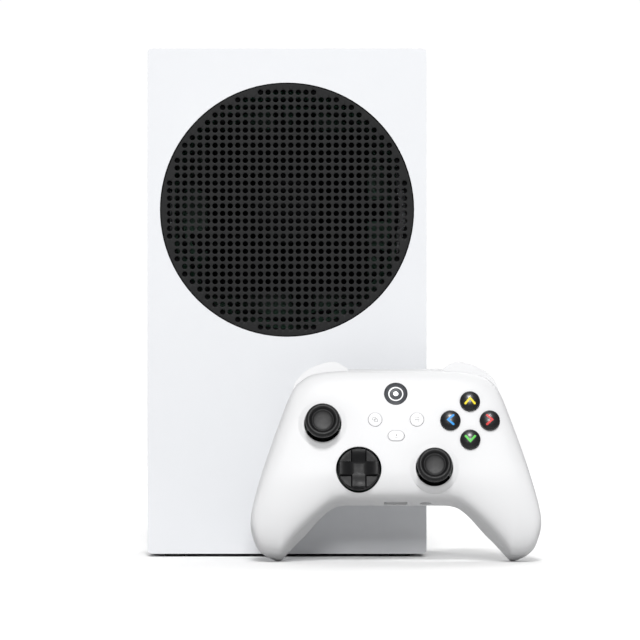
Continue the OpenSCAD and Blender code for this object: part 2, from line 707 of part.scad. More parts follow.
module stick_left() color(soft_black) stick_place(left_stick_u, left_stick_v) stick_top();
module stick_right() color(soft_black) stick_place(right_stick_u, right_stick_v) stick_top();
module stick_pivot_left() color(steel) stick_place(left_stick_u, left_stick_v) stick_pivot();
module stick_pivot_right() color(steel) stick_place(right_stick_u, right_stick_v) stick_pivot();
module stick_yoke_left() color(steel) stick_place(left_stick_u, left_stick_v) stick_yoke();
module stick_yoke_right() color(steel) stick_place(right_stick_u, right_stick_v) stick_yoke();
module stick_base_left() color(steel) stick_place(left_stick_u, left_stick_v) stick_base();
module stick_base_right() color(steel) stick_place(right_stick_u, right_stick_v) stick_base();

// --- Direction pad, drawn about its own middle, with its pivot below the face ---
dpad_pivot_w = 9;
module dpad_place() pad_place() translate([dpad_at[0], dpad_at[1], dpad_pivot_w]) children();

module dpad() color(soft_black) dpad_place() difference() {
  union() {
    rod_w(0, 0, 2.4, dpad_d / 2, 3.4);
    intersection() {
      rod_w(0, 0, 5, dpad_d / 2 - 0.6, 2);
      translate([0, 0, 5]) linear_extrude(height = 1.8) {
        square([8.4, 24], center = true);
        square([24, 8.4], center = true);
      }
    }
    for (k = [-1, 1]) translate([k * 4.6 - 0.6, -1.4, -1.4]) cube([1.2, 2.8, 4]);
  }
  rod_u(-8, 0, 0, 1.05, 16);
  rod_w(0, 0, 5.8, 3.6, 4);
}

module dpad_rocker() color(soft_black) dpad_place() difference() {
  union() {
    translate([-3.6, -3, -1.2]) cube([7.2, 6, 2.4]);
    rod_u(-5.2, 0, 0, 1, 10.4);
  }
  translate([0, -6, 0]) rotate([-90, 0, 0]) cylinder(r = 0.85, h = 12);
}

module dpad_post() color(soft_black) dpad_place() {
  translate([-3, -6, board_w + 1.62 - dpad_pivot_w]) cube([6, 12, 12.6]);
  for (k = [-1, 1]) translate([-1.5, k * 4.6 - 0.9, -2]) cube([3, 1.8, 3.2]);
  translate([0, -5, 0]) rotate([-90, 0, 0]) cylinder(r = 0.8, h = 10);
}

// --- Buttons ---
// A round button with a domed top, a retaining flange and a stem down to the mat.
module round_button(d, rise, dome) {
  intersection() {
    rod_w(0, 0, 7, d / 2, 20);
    translate([0, 0, face_w + rise - dome]) sphere(r = dome, $fn = 96);
  }
  rod_w(0, 0, 7, d / 2 + 0.7, 1.1);
  rod_w(0, 0, stem_w, 2.4, 8.6);
}

module letter(i) color(soft_black) pad_place() translate(letter_places[i])
  round_button(letter_d, 2.7, 14);
module button_a() letter(0);
module button_b() letter(1);
module button_x() letter(2);
module button_y() letter(3);

module button_view() color(pad_white) pad_place() translate(view_at)
  round_button(small_d, 0.9, 30);
module button_menu() color(pad_white) pad_place() translate(menu_at)
  round_button(small_d, 0.9, 30);

module button_share() color(pad_white) pad_place() translate([share_at[0], share_at[1], 0]) {
  translate([0, 0, 7]) linear_extrude(height = face_w + 0.8 - 7) small_slot(share_size);
  translate([0, 0, 7]) linear_extrude(height = 1.1) small_slot(share_size + [1.4, 1.4]);
  rod_w(0, 0, stem_w, 1.8, 8.6);
}

module button_home() color(soft_black) pad_place() translate([home_at[0], home_at[1], 0])
  rotate([-home_tilt, 0, 0]) {
    intersection() {
      rod_w(0, 0, 7, home_d / 2, 20);
      translate([0, 0, face_w - 0.4 - 40]) sphere(r = 40, $fn = 96);
    }
    rod_w(0, 0, 7, home_d / 2 + 0.8, 1.2);
    rod_w(0, 0, stem_w, 2.4, 8.6);
  }

module button_mat() color([0.55, 0.56, 0.58]) pad_place() {
  for (p = concat(letter_places, [view_at, menu_at, share_at]))
    rod_w(p[0], p[1], mat_w + 0.9, 1.7, stem_w - letter_travel - 0.1 - mat_w - 0.9);
  translate([letters_at[0] - 16, letters_at[1] - 16, mat_w]) cube([30, 32, 1]);
  translate([-14, 58, mat_w]) cube([34, 22, 1]);
}

// --- Inside the controller ---
module pad_board() color(board_green) pad_place() translate([0, 0, board_w])
  linear_extrude(height = 1.6) difference() {
    polygon([[-50, 80], [-50, 62], [-32, 39], [32, 39], [50, 62], [56, 68], [50, 80], [22, 80],
             [20, 90], [-20, 90], [-22, 80]]);
    translate([-7, 36]) square([14, 8]);
    for (k = [-1, 1]) translate([k * 14, 86]) circle(r = 1.6);
  }

rumble_at = [59, 38];
module rumble_motors() color(steel) pad_place() for (k = [-1, 1]) difference() {
  rod_w(k * rumble_at[0], rumble_at[1], -15, 8, 11);
  rod_w(k * rumble_at[0], rumble_at[1], -8, 1.05, 6);
}

module rumble_weight(k) color(port_metal) pad_place() {
  rod_w(k * rumble_at[0], rumble_at[1], -7, 1, 7.6);
  difference() {
    rod_w(k * rumble_at[0], rumble_at[1], -3.4, 7, 4);
    translate([k * rumble_at[0] - 8, rumble_at[1] + 1.4, -4]) cube([16, 8, 6]);
  }
}
module rumble_weight_left() rumble_weight(-1);
module rumble_weight_right() rumble_weight(1);

module pad_ports() color(port_metal) pad_place() {
  translate([0, 91, -9]) rotate([-90, 0, 0]) linear_extrude(height = 14) difference() {
    small_slot([8.9, 3.1]);
    small_slot([8.3, 2.5]);
  }
  translate([-5, 86, -10.6]) cube([10, 5.1, 3.2]);
  translate([0, 34.2, -7]) rotate([-90, 0, 0]) difference() {
    linear_extrude(height = 9.4) round_rect(11.8, 5.8, 0.8);
    translate([0, 0, -2]) linear_extrude(height = 8) round_rect(10.4, 4.6, 0.4);
  }
  translate([16, 34, -7]) rotate([-90, 0, 0]) difference() {
    cylinder(r = 2.8, h = 4.8);
    translate([0, 0, -1]) cylinder(r = 1.8, h = 4.8);
  }
}

module pad_sync_button() color(soft_black) pad_place() translate([15, 0, -8.5])
  rotate([-90, 0, 0]) {
    translate([0, 0, 98]) cylinder(r = 2, h = 7);
    translate([0, 0, 98]) cylinder(r = 2.8, h = 1.4);
  }

module pad_screws() color(steel) pad_place() for (p = front_posts) {
  rod_w(p[0], p[1], -14, 2.2, 1.98);
  rod_w(p[0], p[1], -12.1, 1, 15);
}

// --- Drawing ---
case_vent_half();
case_base_half();
vent_grille();
vent_tray();
fan_frame();
fan_rotor();
heatsink();
main_board();
chassis_shield();
power_supply();
ssd_module();
power_button();
sync_button();
front_usb_port();
hdmi_port();
rear_usb_ports();
ethernet_port();
power_inlet();
storage_slot();
stand_feet();
side_feet();
case_screws();
pad_front_shell();
pad_back_shell();
pad_bridge();
bumper_left();
bumper_right();
trigger_left();
trigger_right();
stick_left();
stick_right();
stick_pivot_left();
stick_pivot_right();
stick_yoke_left();
stick_yoke_right();
stick_base_left();
stick_base_right();
dpad();
dpad_rocker();
dpad_post();
button_a();
button_b();
button_x();
button_y();
button_mat();
button_home();
button_view();
button_menu();
button_share();
pad_board();
battery_door();
battery_cells();
rumble_motors();
rumble_weight_left();
rumble_weight_right();
pad_ports();
pad_sync_button();
pad_screws();
trigger_shafts();
trigger_springs();
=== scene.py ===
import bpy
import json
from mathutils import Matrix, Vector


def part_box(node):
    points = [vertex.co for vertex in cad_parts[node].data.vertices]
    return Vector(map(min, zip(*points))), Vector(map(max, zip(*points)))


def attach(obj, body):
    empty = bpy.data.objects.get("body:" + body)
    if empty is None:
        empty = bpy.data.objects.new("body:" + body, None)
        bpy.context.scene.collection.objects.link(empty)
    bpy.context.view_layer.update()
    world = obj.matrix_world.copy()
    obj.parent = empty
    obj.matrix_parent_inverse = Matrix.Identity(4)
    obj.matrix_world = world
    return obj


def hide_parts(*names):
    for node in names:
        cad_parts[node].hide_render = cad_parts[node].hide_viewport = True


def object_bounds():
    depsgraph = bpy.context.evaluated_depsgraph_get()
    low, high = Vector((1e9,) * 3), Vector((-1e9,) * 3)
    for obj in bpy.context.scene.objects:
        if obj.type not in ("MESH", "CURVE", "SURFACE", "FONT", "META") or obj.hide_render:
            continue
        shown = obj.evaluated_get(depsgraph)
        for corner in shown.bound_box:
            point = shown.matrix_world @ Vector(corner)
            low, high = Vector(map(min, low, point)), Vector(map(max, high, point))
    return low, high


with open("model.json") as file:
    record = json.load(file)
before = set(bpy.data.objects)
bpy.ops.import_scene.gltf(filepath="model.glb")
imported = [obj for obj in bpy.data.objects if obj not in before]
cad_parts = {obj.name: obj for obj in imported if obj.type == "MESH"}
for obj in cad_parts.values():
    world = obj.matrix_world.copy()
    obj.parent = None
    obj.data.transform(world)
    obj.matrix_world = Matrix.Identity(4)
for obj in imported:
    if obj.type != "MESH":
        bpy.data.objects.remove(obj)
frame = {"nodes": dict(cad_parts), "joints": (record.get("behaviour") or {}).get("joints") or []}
cad_box = [list(v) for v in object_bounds()]

import json
import math
import bpy
import bmesh
import numpy as np
from mathutils import Vector, Matrix

scene = bpy.context.scene
nodes = frame["nodes"]
joint = {j["name"]: j for j in frame["joints"]}
MM = 0.001

# ---------------------------------------------------------------- the controller's own frame
# u runs across its face, v up the face and w out of the face, in mm.
LEFT_STICK = (-38.7, 71.5)
RIGHT_STICK = (20.2, 47.6)
PIVOT_W = 3.3
U = Vector((1, 0, 0))
V = Vector(joint["stick_left_roll"]["axis"]).normalized()
W = U.cross(V)
ORIGIN = Vector(joint["stick_left_pitch"]["pos_m"]) - MM * (
    LEFT_STICK[0] * U + LEFT_STICK[1] * V + PIVOT_W * W)
TURN = Matrix((U, V, W)).transposed().to_4x4()
PAD = Matrix.Translation(ORIGIN) @ TURN @ Matrix.Scale(MM, 4)


def local_centre(node):
    """Middle of a node's box, as (u, v, w) in mm."""
    lo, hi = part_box(node)
    return PAD.inverted() @ ((lo + hi) / 2)


# ---------------------------------------------------------------- materials
GRAIN_DEPTH = 0.00012


def material(name, colour, rough, metal=0.0, coat=0.0, coat_rough=0.05, grain=0.0,
             grain_scale=2500.0, mottle=0.0, mottle_scale=60.0, spec=0.5,
             rough_spread=0.0, streak=None, dots=None):
    """A Principled material with a noise in its colour (mottle), its roughness
    (rough_spread) and its bump (grain). dots adds a moulded dot texture to the bump, and
    streak stretches every noise along an axis."""
    m = bpy.data.materials.new(name)
    m.use_nodes = True
    nt = m.node_tree
    b = nt.nodes["Principled BSDF"]
    b.inputs["Base Color"].default_value = (*colour, 1)
    b.inputs["Roughness"].default_value = rough
    b.inputs["Metallic"].default_value = metal
    b.inputs["Coat Weight"].default_value = coat
    b.inputs["Coat Roughness"].default_value = coat_rough
    b.inputs["Specular IOR Level"].default_value = spec
    co = nt.nodes.new("ShaderNodeTexCoord")
    place = nt.nodes.new("ShaderNodeMapping")
    nt.links.new(co.outputs["Object"], place.inputs["Vector"])
    if streak:
        place.inputs["Scale"].default_value = streak

    def noise(scale, detail=3.0):
        n = nt.nodes.new("ShaderNodeTexNoise")
        n.inputs["Scale"].default_value = scale
        n.inputs["Detail"].default_value = detail
        nt.links.new(place.outputs["Vector"], n.inputs["Vector"])
        return n

    if mottle:
        n = noise(mottle_scale, 4.0)
        ramp = nt.nodes.new("ShaderNodeValToRGB")
        ramp.color_ramp.elements[0].position = 0.3
        ramp.color_ramp.elements[1].position = 0.7
        ramp.color_ramp.elements[0].color = (*[c * (1 - mottle) for c in colour], 1)
        ramp.color_ramp.elements[1].color = (*[min(1, c * (1 + mottle)) for c in colour], 1)
        nt.links.new(n.outputs["Fac"], ramp.inputs["Fac"])
        nt.links.new(ramp.outputs["Color"], b.inputs["Base Color"])
    if rough_spread:
        n = noise(mottle_scale * 3.1, 5.0)
        r = nt.nodes.new("ShaderNodeMapRange")
        r.inputs["From Min"].default_value = 0.3
        r.inputs["From Max"].default_value = 0.7
        r.inputs["To Min"].default_value = max(0.02, rough - rough_spread)
        r.inputs["To Max"].default_value = min(1.0, rough + rough_spread)
        nt.links.new(n.outputs["Fac"], r.inputs["Value"])
        nt.links.new(r.outputs["Result"], b.inputs["Roughness"])
    if grain:
        n = noise(grain_scale, 2.0)
        height = n.outputs["Fac"]
        if dots:
            v = nt.nodes.new("ShaderNodeTexVoronoi")
            v.feature = "F1"
            v.inputs["Scale"].default_value = dots
            v.inputs["Randomness"].default_value = 0.35
            nt.links.new(place.outputs["Vector"], v.inputs["Vector"])
            r = nt.nodes.new("ShaderNodeMapRange")
            r.interpolation_type = "SMOOTHSTEP"
            r.inputs["From Min"].default_value = 0.22
            r.inputs["From Max"].default_value = 0.42
            r.inputs["To Min"].default_value = 2.5
            r.inputs["To Max"].default_value = 0.0
            nt.links.new(v.outputs["Distance"], r.inputs["Value"])
            add = nt.nodes.new("ShaderNodeMath")
            add.operation = "ADD"
            nt.links.new(r.outputs["Result"], add.inputs[0])
            nt.links.new(n.outputs["Fac"], add.inputs[1])
            height = add.outputs["Value"]
        bump = nt.nodes.new("ShaderNodeBump")
        bump.inputs["Strength"].default_value = grain
        bump.inputs["Distance"].default_value = GRAIN_DEPTH
        nt.links.new(height, bump.inputs["Height"])
        nt.links.new(bump.outputs["Normal"], b.inputs["Normal"])
    return m


CASE_WHITE = material("case_white", (0.76, 0.772, 0.795), 0.46, grain=0.22, grain_scale=2600,
                      mottle=0.012, mottle_scale=9, rough_spread=0.03)
PAD_WHITE = material("pad_white", (0.735, 0.737, 0.745), 0.42, spec=0.35, grain=0.20,
                     grain_scale=3000, mottle=0.010, mottle_scale=14, rough_spread=0.03)
PAD_GRIP = material("pad_grip", (0.74, 0.742, 0.75), 0.46, grain=0.5, grain_scale=3000,
                    mottle=0.010, mottle_scale=14, dots=900)
# Gloss white of the bridge, bumpers and triggers. It is the shell's white plastic, given a darker
# colour as painted shade so these upward-facing parts take the light less brightly.
PAD_GLOSS_PAINTED_SHADE = material("pad_gloss_painted_shade", (0.66, 0.662, 0.67), 0.34, spec=0.2, coat=0.03, coat_rough=0.12,
                     grain=0.04, grain_scale=1800, mottle=0.008, mottle_scale=14,
                     rough_spread=0.03)
VENT_BLACK = material("vent_black", (0.009, 0.0092, 0.0097), 0.55, grain=0.30,
                      grain_scale=2400, mottle=0.08, mottle_scale=18, rough_spread=0.05,
                      spec=0.24)
# Near-black of the inner parts: the fan's own black, and painted shade on the vent tray and the
# heatsink, which show through the grille's gap and holes.
INNER_BLACK_AND_SHADE = material("inner_black_and_painted_shade", (0.004, 0.004, 0.0045), 0.8, grain=0.2,
                       grain_scale=1500, mottle=0.1, spec=0.08)
RUBBER = material("stick_rubber", (0.007, 0.007, 0.0075), 0.44, grain=0.30, grain_scale=3600,
                  mottle=0.10, mottle_scale=160, rough_spread=0.04, spec=0.32)
FOOT = material("foot_rubber", (0.03, 0.03, 0.032), 0.7, grain=0.4, grain_scale=1800,
                mottle=0.1, mottle_scale=200)
DPAD_BLACK = material("dpad_black", (0.005, 0.005, 0.0055), 0.38, grain=0.10,
                      grain_scale=3200, mottle=0.06, mottle_scale=120, rough_spread=0.05,
                      spec=0.15)
DARK_PLASTIC = material("dark_plastic", (0.012, 0.012, 0.013), 0.5, grain=0.25,
                        grain_scale=2600, mottle=0.08, mottle_scale=120)
BUTTON_GLOSS = material("button_gloss", (0.006, 0.006, 0.007), 0.28, spec=0.4, coat=0.12,
                        coat_rough=0.05, grain=0.02, grain_scale=1500, mottle=0.1,
                        mottle_scale=200, rough_spread=0.03)
HOME_GLOSS = material("home_gloss", (0.045, 0.048, 0.055), 0.45, spec=0.15, coat=0.04,
                      grain=0.02, grain_scale=1500, mottle=0.05, mottle_scale=200)
BUTTON_WHITE = material("button_white", (0.84, 0.84, 0.85), 0.30, coat=0.2, coat_rough=0.15,
                        grain=0.08, grain_scale=2600, mottle=0.01, mottle_scale=200)
STEEL = material("steel", (0.52, 0.53, 0.55), 0.32, metal=1.0, grain=0.25, grain_scale=900,
                 mottle=0.06, mottle_scale=300, rough_spread=0.08, streak=(1, 1, 12))
BOARD = material("board", (0.012, 0.075, 0.04), 0.38, coat=0.4, coat_rough=0.2, grain=0.3,
                 grain_scale=1400, mottle=0.25, mottle_scale=500)
SILICONE = material("silicone", (0.38, 0.39, 0.41), 0.62, grain=0.2, grain_scale=2200,
                    mottle=0.05, mottle_scale=150)
CELL = material("cell_wrap", (0.06, 0.062, 0.065), 0.3, coat=0.6, coat_rough=0.1, grain=0.05,
                mottle=0.1, mottle_scale=90)
ICON_GREY = material("icon_grey", (0.09, 0.09, 0.095), 0.5, grain=0.1, mottle=0.05,
                     mottle_scale=400)
ICON_LIGHT = material("icon_light", (0.78, 0.78, 0.79), 0.3, coat=0.8, coat_rough=0.05,
                      grain=0.03, mottle=0.02, mottle_scale=300)


def mark(name, colour):
    """Printed colour of a button's mark."""
    return material(name, colour, 0.45, spec=0.3, grain=0.03, mottle=0.05, mottle_scale=300)


MARK = {"button_a": mark("mark_green", (0.12, 0.62, 0.09)),
        "button_b": mark("mark_red", (0.68, 0.05, 0.05)),
        "button_x": mark("mark_blue", (0.04, 0.32, 0.78)),
        "button_y": mark("mark_yellow", (0.86, 0.70, 0.03))}


# ---------------------------------------------------------------- mesh helpers
def link(name, mesh, mat, body, sharp=None):
    """Puts a mesh on a body as a piece. Its points are clipped to the CAD model's box."""
    co = np.empty(len(mesh.vertices) * 3, np.float32)
    mesh.vertices.foreach_get("co", co)
    co = np.clip(co.reshape(-1, 3), cad_box[0], cad_box[1])
    mesh.vertices.foreach_set("co", co.astype(np.float32).ravel())
    mesh.update()
    mesh.materials.clear()
    mesh.materials.append(mat)
    for p in mesh.polygons:
        p.use_smooth = True
    if sharp is not None:
        mesh.set_sharp_from_angle(angle=math.radians(sharp))
    ob = bpy.data.objects.new(name, mesh)
    scene.collection.objects.link(ob)
    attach(ob, body)
    return ob


def mesh_of(name, verts, faces, place=PAD):
    """A mesh from points and faces, welded, with its normals out."""
    me = bpy.data.meshes.new(name)
    me.from_pydata([tuple(v) for v in verts], [], faces)
    me.validate()
    if place is not None:
        me.transform(place)
    bm = bmesh.new()
    bm.from_mesh(me)
    bmesh.ops.remove_doubles(bm, verts=bm.verts, dist=1e-7)
    bmesh.ops.recalc_face_normals(bm, faces=bm.faces)
    bm.to_mesh(me)
    bm.free()
    return me


def evaluated(ob):
    """The mesh an object has with its modifiers applied."""
    bpy.context.view_layer.update()
    dg = bpy.context.evaluated_depsgraph_get()
    return bpy.data.meshes.new_from_object(ob.evaluated_get(dg))


def boolean(mesh, cutters, op="DIFFERENCE"):
    """The mesh with each cutter mesh taken away from it, or kept only where both are."""
    a = bpy.data.objects.new("tmp_a", mesh)
    scene.collection.objects.link(a)
    made = []
    for c in cutters:
        b = bpy.data.objects.new("tmp_b", c)
        scene.collection.objects.link(b)
        mod = a.modifiers.new("cut", "BOOLEAN")
        mod.operation = op
        mod.solver = "EXACT"
        mod.object = b
        made.append(b)
    out = evaluated(a)
    for o in [a, *made]:
        me = o.data
        bpy.data.objects.remove(o)
        bpy.data.meshes.remove(me)
    return out


def joined(meshes):
    """One mesh of several, which are used up. EXACT booleans need parts that don't touch."""
    bm = bmesh.new()
    for m in meshes:
        bm.from_mesh(m)
        bpy.data.meshes.remove(m)
    out = bpy.data.meshes.new("joined")
    bm.to_mesh(out)
    bm.free()
    return out


def prism(points, w0, w1, place=PAD):
    """A solid with a flat outline in u and v, from w0 to w1."""
    n = len(points)
    verts = [(x, y, w0) for x, y in points] + [(x, y, w1) for x, y in points]
    faces = [list(range(n))[::-1], list(range(n, 2 * n))]
    faces += [[i, (i + 1) % n, n + (i + 1) % n, n + i] for i in range(n)]
    return mesh_of("prism", verts, faces, place)


def rectangle(u0, v0, u1, v1):
    return [(u0, v0), (u1, v0), (u1, v1), (u0, v1)]


def round_points(u, v, r, n=96):
    return [(u + r * math.cos(2 * math.pi * i / n), v + r * math.sin(2 * math.pi * i / n))
            for i in range(n)]


def slot_points(u, v, length, width, n=24):
    """Outline of a slot with round ends, which lies along u."""
    r = width / 2
    out = []
    for k, start in ((1, -90), (-1, 90)):
        for i in range(n + 1):
            a = math.radians(start + 180 * i / n)
            out.append((u + k * (length / 2 - r) + r * math.cos(a), v + r * math.sin(a)))
    return out


def lathe(profile, centre, steps=96, place=PAD, wobble=None):
    """Turns (radius, w) points about an axis along w through centre."""
    verts, faces = [], []
    n = len(profile)
    for i in range(steps):
        a = 2 * math.pi * i / steps
        for k, (r, w) in enumerate(profile):
            if wobble:
                r = r + wobble(k, i)
            verts.append((centre[0] + r * math.cos(a), centre[1] + r * math.sin(a),
                          centre[2] + w))
    for i in range(steps):
        j = (i + 1) % steps
        for k in range(n - 1):
            faces.append([i * n + k, j * n + k, j * n + k + 1, i * n + k + 1])
    return mesh_of("lathe", verts, faces, place)


def smooth_line(points, per):
    """An open Catmull-Rom curve through the points, with per steps to each stretch."""
    n = len(points)
    out = []
    for i in range(n - 1):
        p = [Vector(points[max(0, min(n - 1, i + k))]) for k in (-1, 0, 1, 2)]
        for s in range(per):
            t = s / per
            out.append(tuple(0.5 * (2 * p[1] + (p[2] - p[0]) * t
                                    + (2 * p[0] - 5 * p[1] + 4 * p[2] - p[3]) * t * t
                                    + (3 * p[1] - p[0] - 3 * p[2] + p[3]) * t ** 3)))
    out.append(tuple(points[-1]))
    return out


def bevel(ob, width, segments, angle, weld=False):
    """Rounds the edges that are sharper than angle, width mm wide."""
    if weld:
        w = ob.modifiers.new("weld", "WELD")
        w.merge_threshold = 1e-6
    b = ob.modifiers.new("bevel", "BEVEL")
    b.width = width * MM
    b.segments = segments
    b.limit_method = "ANGLE"
    b.angle_limit = math.radians(angle)
    b.harden_normals = False
    b.miter_outer = "MITER_ARC"


# ---------------------------------------------------------------- the controller's shells
# The body is a loft: a slice at every sideways place, squarer in the middle, rounder in the
# grips, between an upper and a lower outline of the right half, given as (u, v) in mm.
HALF_W, FRONT, BACK, WALL = 76.9, 13.5, 24.0, 2.2
FACE_W = 13.3
LIP_RISE = 2.6
UPPER = [(0, 99.8), (24, 99.8), (32, 99.5), (38, 98.9), (43, 98), (47, 96.9), (50.5, 95.4),
         (53.6, 93.2), (56.6, 87.9), (60.9, 76.7), (66.3, 61.6), (71.7, 44.6), (75, 32.6),
         (76.6, 24.6), (HALF_W, 20.6)]
LOWER = [(0, 32.9), (22, 32.9), (27.5, 32.8), (32.3, 31.8), (36.1, 29.5), (40.4, 26.2),
         (45.8, 21.4), (51.2, 16.2), (56.6, 10.1), (60.4, 5.7), (62, 5), (65.2, 5.2),
         (69.6, 6.2), (73.4, 9.2), (75.8, 15), (HALF_W, 20.6)]


def clamp(x, lo, hi):
    return max(lo, min(hi, x))


def ease(t):
    """A smooth step from 0 to 1."""
    return t * t * (3 - 2 * t)


def share(u):
    """Where a sideways place lies on the cosine spacing, from 0 in the middle to 1."""
    return math.asin(min(1, abs(u) / HALF_W)) / (math.pi / 2)


def curve(p, x):
    """Height at x of a smooth curve through the points p."""
    i = max(k for k in range(len(p) - 1) if k == 0 or p[k][0] <= x)

    def slope(j):
        a, b = max(0, j - 1), min(len(p) - 1, j + 1)
        return (p[b][1] - p[a][1]) / (p[b][0] - p[a][0])

    d = p[i + 1][0] - p[i][0]
    t = (x - p[i][0]) / d
    return ((2 * t ** 3 - 3 * t * t + 1) * p[i][1] + (t ** 3 - 2 * t * t + t) * d * slope(i)
            + (3 * t * t - 2 * t ** 3) * p[i + 1][1] + (t ** 3 - t * t) * d * slope(i + 1))


UPPER_S = [(share(u), v) for u, v in UPPER]
LOWER_S = [(share(u), v) for u, v in LOWER]


def v_top(s):
    return curve(UPPER_S, s)


def v_bottom(s):
    return curve(LOWER_S, s)


def v_lip(s):
    """Upper edge of the front shell, whose lip stands in front of the bridge and bumpers.
    The CAD shell has no such lip."""
    return v_top(s) + LIP_RISE * ease(clamp((0.53 - s) / 0.14, 0, 1))


def seam_w(v):
    """The seam between the shells drops away from the face in the grips."""
    return -8 * clamp((45 - v) / 45, 0, 1.2) ** 1.5


def squareness(s):
    """Power of a slice's superellipse."""
    return 4.6 - 2 * ease(clamp((s - 0.32) / 0.4, 0, 1))


def shell_point(s, a, face, inset):
    """A point of the slice at s, at angle a from its top. face is 1 in front and -1 behind.
    The back has a belly under each grip's inner half."""
    r, n = abs(s), squareness(abs(s))
    c, q = math.cos(a), abs(math.sin(a))
    k = (abs(c) ** n + q ** n) ** (1 / n)
    top = v_lip(r) if face > 0 else v_top(r)
    full, mid = (top - v_bottom(r)) / 2, (top + v_bottom(r)) / 2
    half = max(full - inset * (1 + 0.6 * r), 0.35 * full)
    bulge = (FRONT if face > 0 else BACK) * math.sqrt(max(0, 1 - r ** 4))
    depth = max(bulge - inset, 0.3 * bulge)
    belly = 0
    if face < 0:
        belly = (3.6 * math.sin(clamp(a - math.pi / 2, 0, math.pi / 2) * 2) ** 2
                 * ease(clamp((r - 0.3) / 0.15, 0, 1))
                 * (1 - ease(clamp((r - 0.6) / 0.2, 0, 1))))
    v = mid + half * c / k
    u = math.copysign((HALF_W - inset) * math.sin(math.pi / 2 * r), s)
    return (u, v - belly, seam_w(v) + face * depth * q / k)


def face_height(u, v):
    """Height w of the front shell's face over a point."""
    s = share(u)
    mid, half = (v_lip(s) + v_bottom(s)) / 2, (v_lip(s) - v_bottom(s)) / 2
    n = squareness(s)
    x = clamp(abs(v - mid) / half, 0, 0.999)
    return seam_w(v) + FRONT * math.sqrt(1 - s ** 4) * (1 - x ** n) ** (1 / n)


def shell_grid(face, inset, stations, ring, end=0.994, trim=0.007):
    """Rows of points over half a body, closer together near the seam."""
    rows = []
    for i in range(-stations, stations + 1):
        s = i / stations * end
        row = []
        for j in range(ring + 1):
            t = trim + (math.pi - 2 * trim) * j / ring
            row.append(shell_point(s, t + 0.087 * math.sin(4 * t), face, inset))
        rows.append(row)
    return rows


def shell_mesh(face, wall=WALL, stations=84, ring=48):
    """One shell with its wall, closed along the seam."""
    outer = shell_grid(face, 0, stations, ring)
    inner = shell_grid(face, wall, stations, ring)
    n, m = len(outer), ring + 1
    o = n * m
    verts = [p for row in outer for p in row] + [p for row in inner for p in row]
    faces = []
    for i in range(n - 1):
        for j in range(m - 1):
            k = i * m + j
            faces.append([k, k + 1, k + m + 1, k + m])
            faces.append([o + k + m, o + k + m + 1, o + k + 1, o + k])
        for k in (i * m, i * m + m - 1):
            faces.append([k, k + m, o + k + m, o + k])
    for j in range(m - 1):
        for k in (j, (n - 1) * m + j):
            faces.append([k, k + 1, o + k + 1, o + k])
    return mesh_of("shell", verts, faces)


def solid_mesh(face, stations=60, ring=36, inset=0.03):
    """The whole space in front of or behind the seam, to trim inner parts with."""
    rows = shell_grid(face, inset, stations, ring)
    n, m = len(rows), ring + 1
    verts = [p for row in rows for p in row]
    faces = [[i * m + j, i * m + j + 1, (i + 1) * m + j + 1, (i + 1) * m + j]
             for i in range(n - 1) for j in range(m - 1)]
    faces += [[i * m, (i + 1) * m, (i + 1) * m + m - 1, i * m + m - 1] for i in range(n - 1)]
    faces += [list(range(m)), [(n - 1) * m + j for j in range(m)]]
    return mesh_of("solid", verts, faces)


def prism_u(points, u0, u1):
    """A solid with a flat outline in v and w, from u0 to u1."""
    n = len(points)
    verts = [(u0, v, w) for v, w in points] + [(u1, v, w) for v, w in points]
    faces = [list(range(n)), list(range(n, 2 * n))]
    faces += [[i, (i + 1) % n, n + (i + 1) % n, n + i] for i in range(n)]
    return mesh_of("prism_u", verts, faces)


# ---- places of the controls, from the CAD nodes
LETTERS = {n: local_centre(n) for n in ("button_a", "button_b", "button_x", "button_y")}
VIEW, MENU, SHARE = (local_centre("button_" + n) for n in ("view", "menu", "share"))
DPAD = local_centre("dpad_rocker")
HOME_V, HOME_TILT = 86.4, math.radians(7)
HOME = PAD @ Matrix.Translation((0, HOME_V, 0)) @ Matrix.Rotation(-HOME_TILT, 4, "X")
STICK_HOLE, DPAD_HOLE, LETTER_HOLE, SMALL_HOLE, HOME_HOLE = 9.8, 12.05, 5.45, 3.8, 6.25
SHARE_SIZE = (8.6, 5.4)
SHARE_HOLE = (9.0, 5.8)
FACE_CUT = (5, 25)
POSTS = [(-60, 22), (60, 22), (-58, 62), (58, 62)]
POST_R, PILOT_R, TUBE_R, SCREW_WELL_R = 3, 1.05, 3.8, 2.7
SCREW_WELL = (-40, -12)


def post_rods(r, w0, w1, steps):
    """A rod at each of the four screws."""
    return [prism(round_points(u, v, r, steps), w0, w1) for u, v in POSTS]


# ---- front shell
cutters = [prism(round_points(u, v, STICK_HOLE), *FACE_CUT) for u, v in (LEFT_STICK, RIGHT_STICK)]
cutters.append(prism(round_points(DPAD.x, DPAD.y, DPAD_HOLE, 128), *FACE_CUT))
cutters += [prism(round_points(c.x, c.y, LETTER_HOLE, 72), *FACE_CUT) for c in LETTERS.values()]
cutters += [prism(round_points(c.x, c.y, SMALL_HOLE, 64), *FACE_CUT) for c in (VIEW, MENU)]
cutters.append(prism(slot_points(SHARE.x, SHARE.y, *SHARE_HOLE), *FACE_CUT))
cutters.append(prism(round_points(0, 0, HOME_HOLE, 80), *FACE_CUT, place=HOME))
front = boolean(shell_mesh(1), [joined(cutters)])
bosses = joined([prism(round_points(u, v, POST_R, 48), -3, 10.6 if v > 40 else 8)
                 for u, v in POSTS])
bosses = boolean(bosses, [joined(post_rods(PILOT_R, -4, 4, 32))])
front = link("controller_front", joined([front, bosses]), PAD_WHITE, "pad",
             sharp=32)
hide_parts("pad_front_shell")


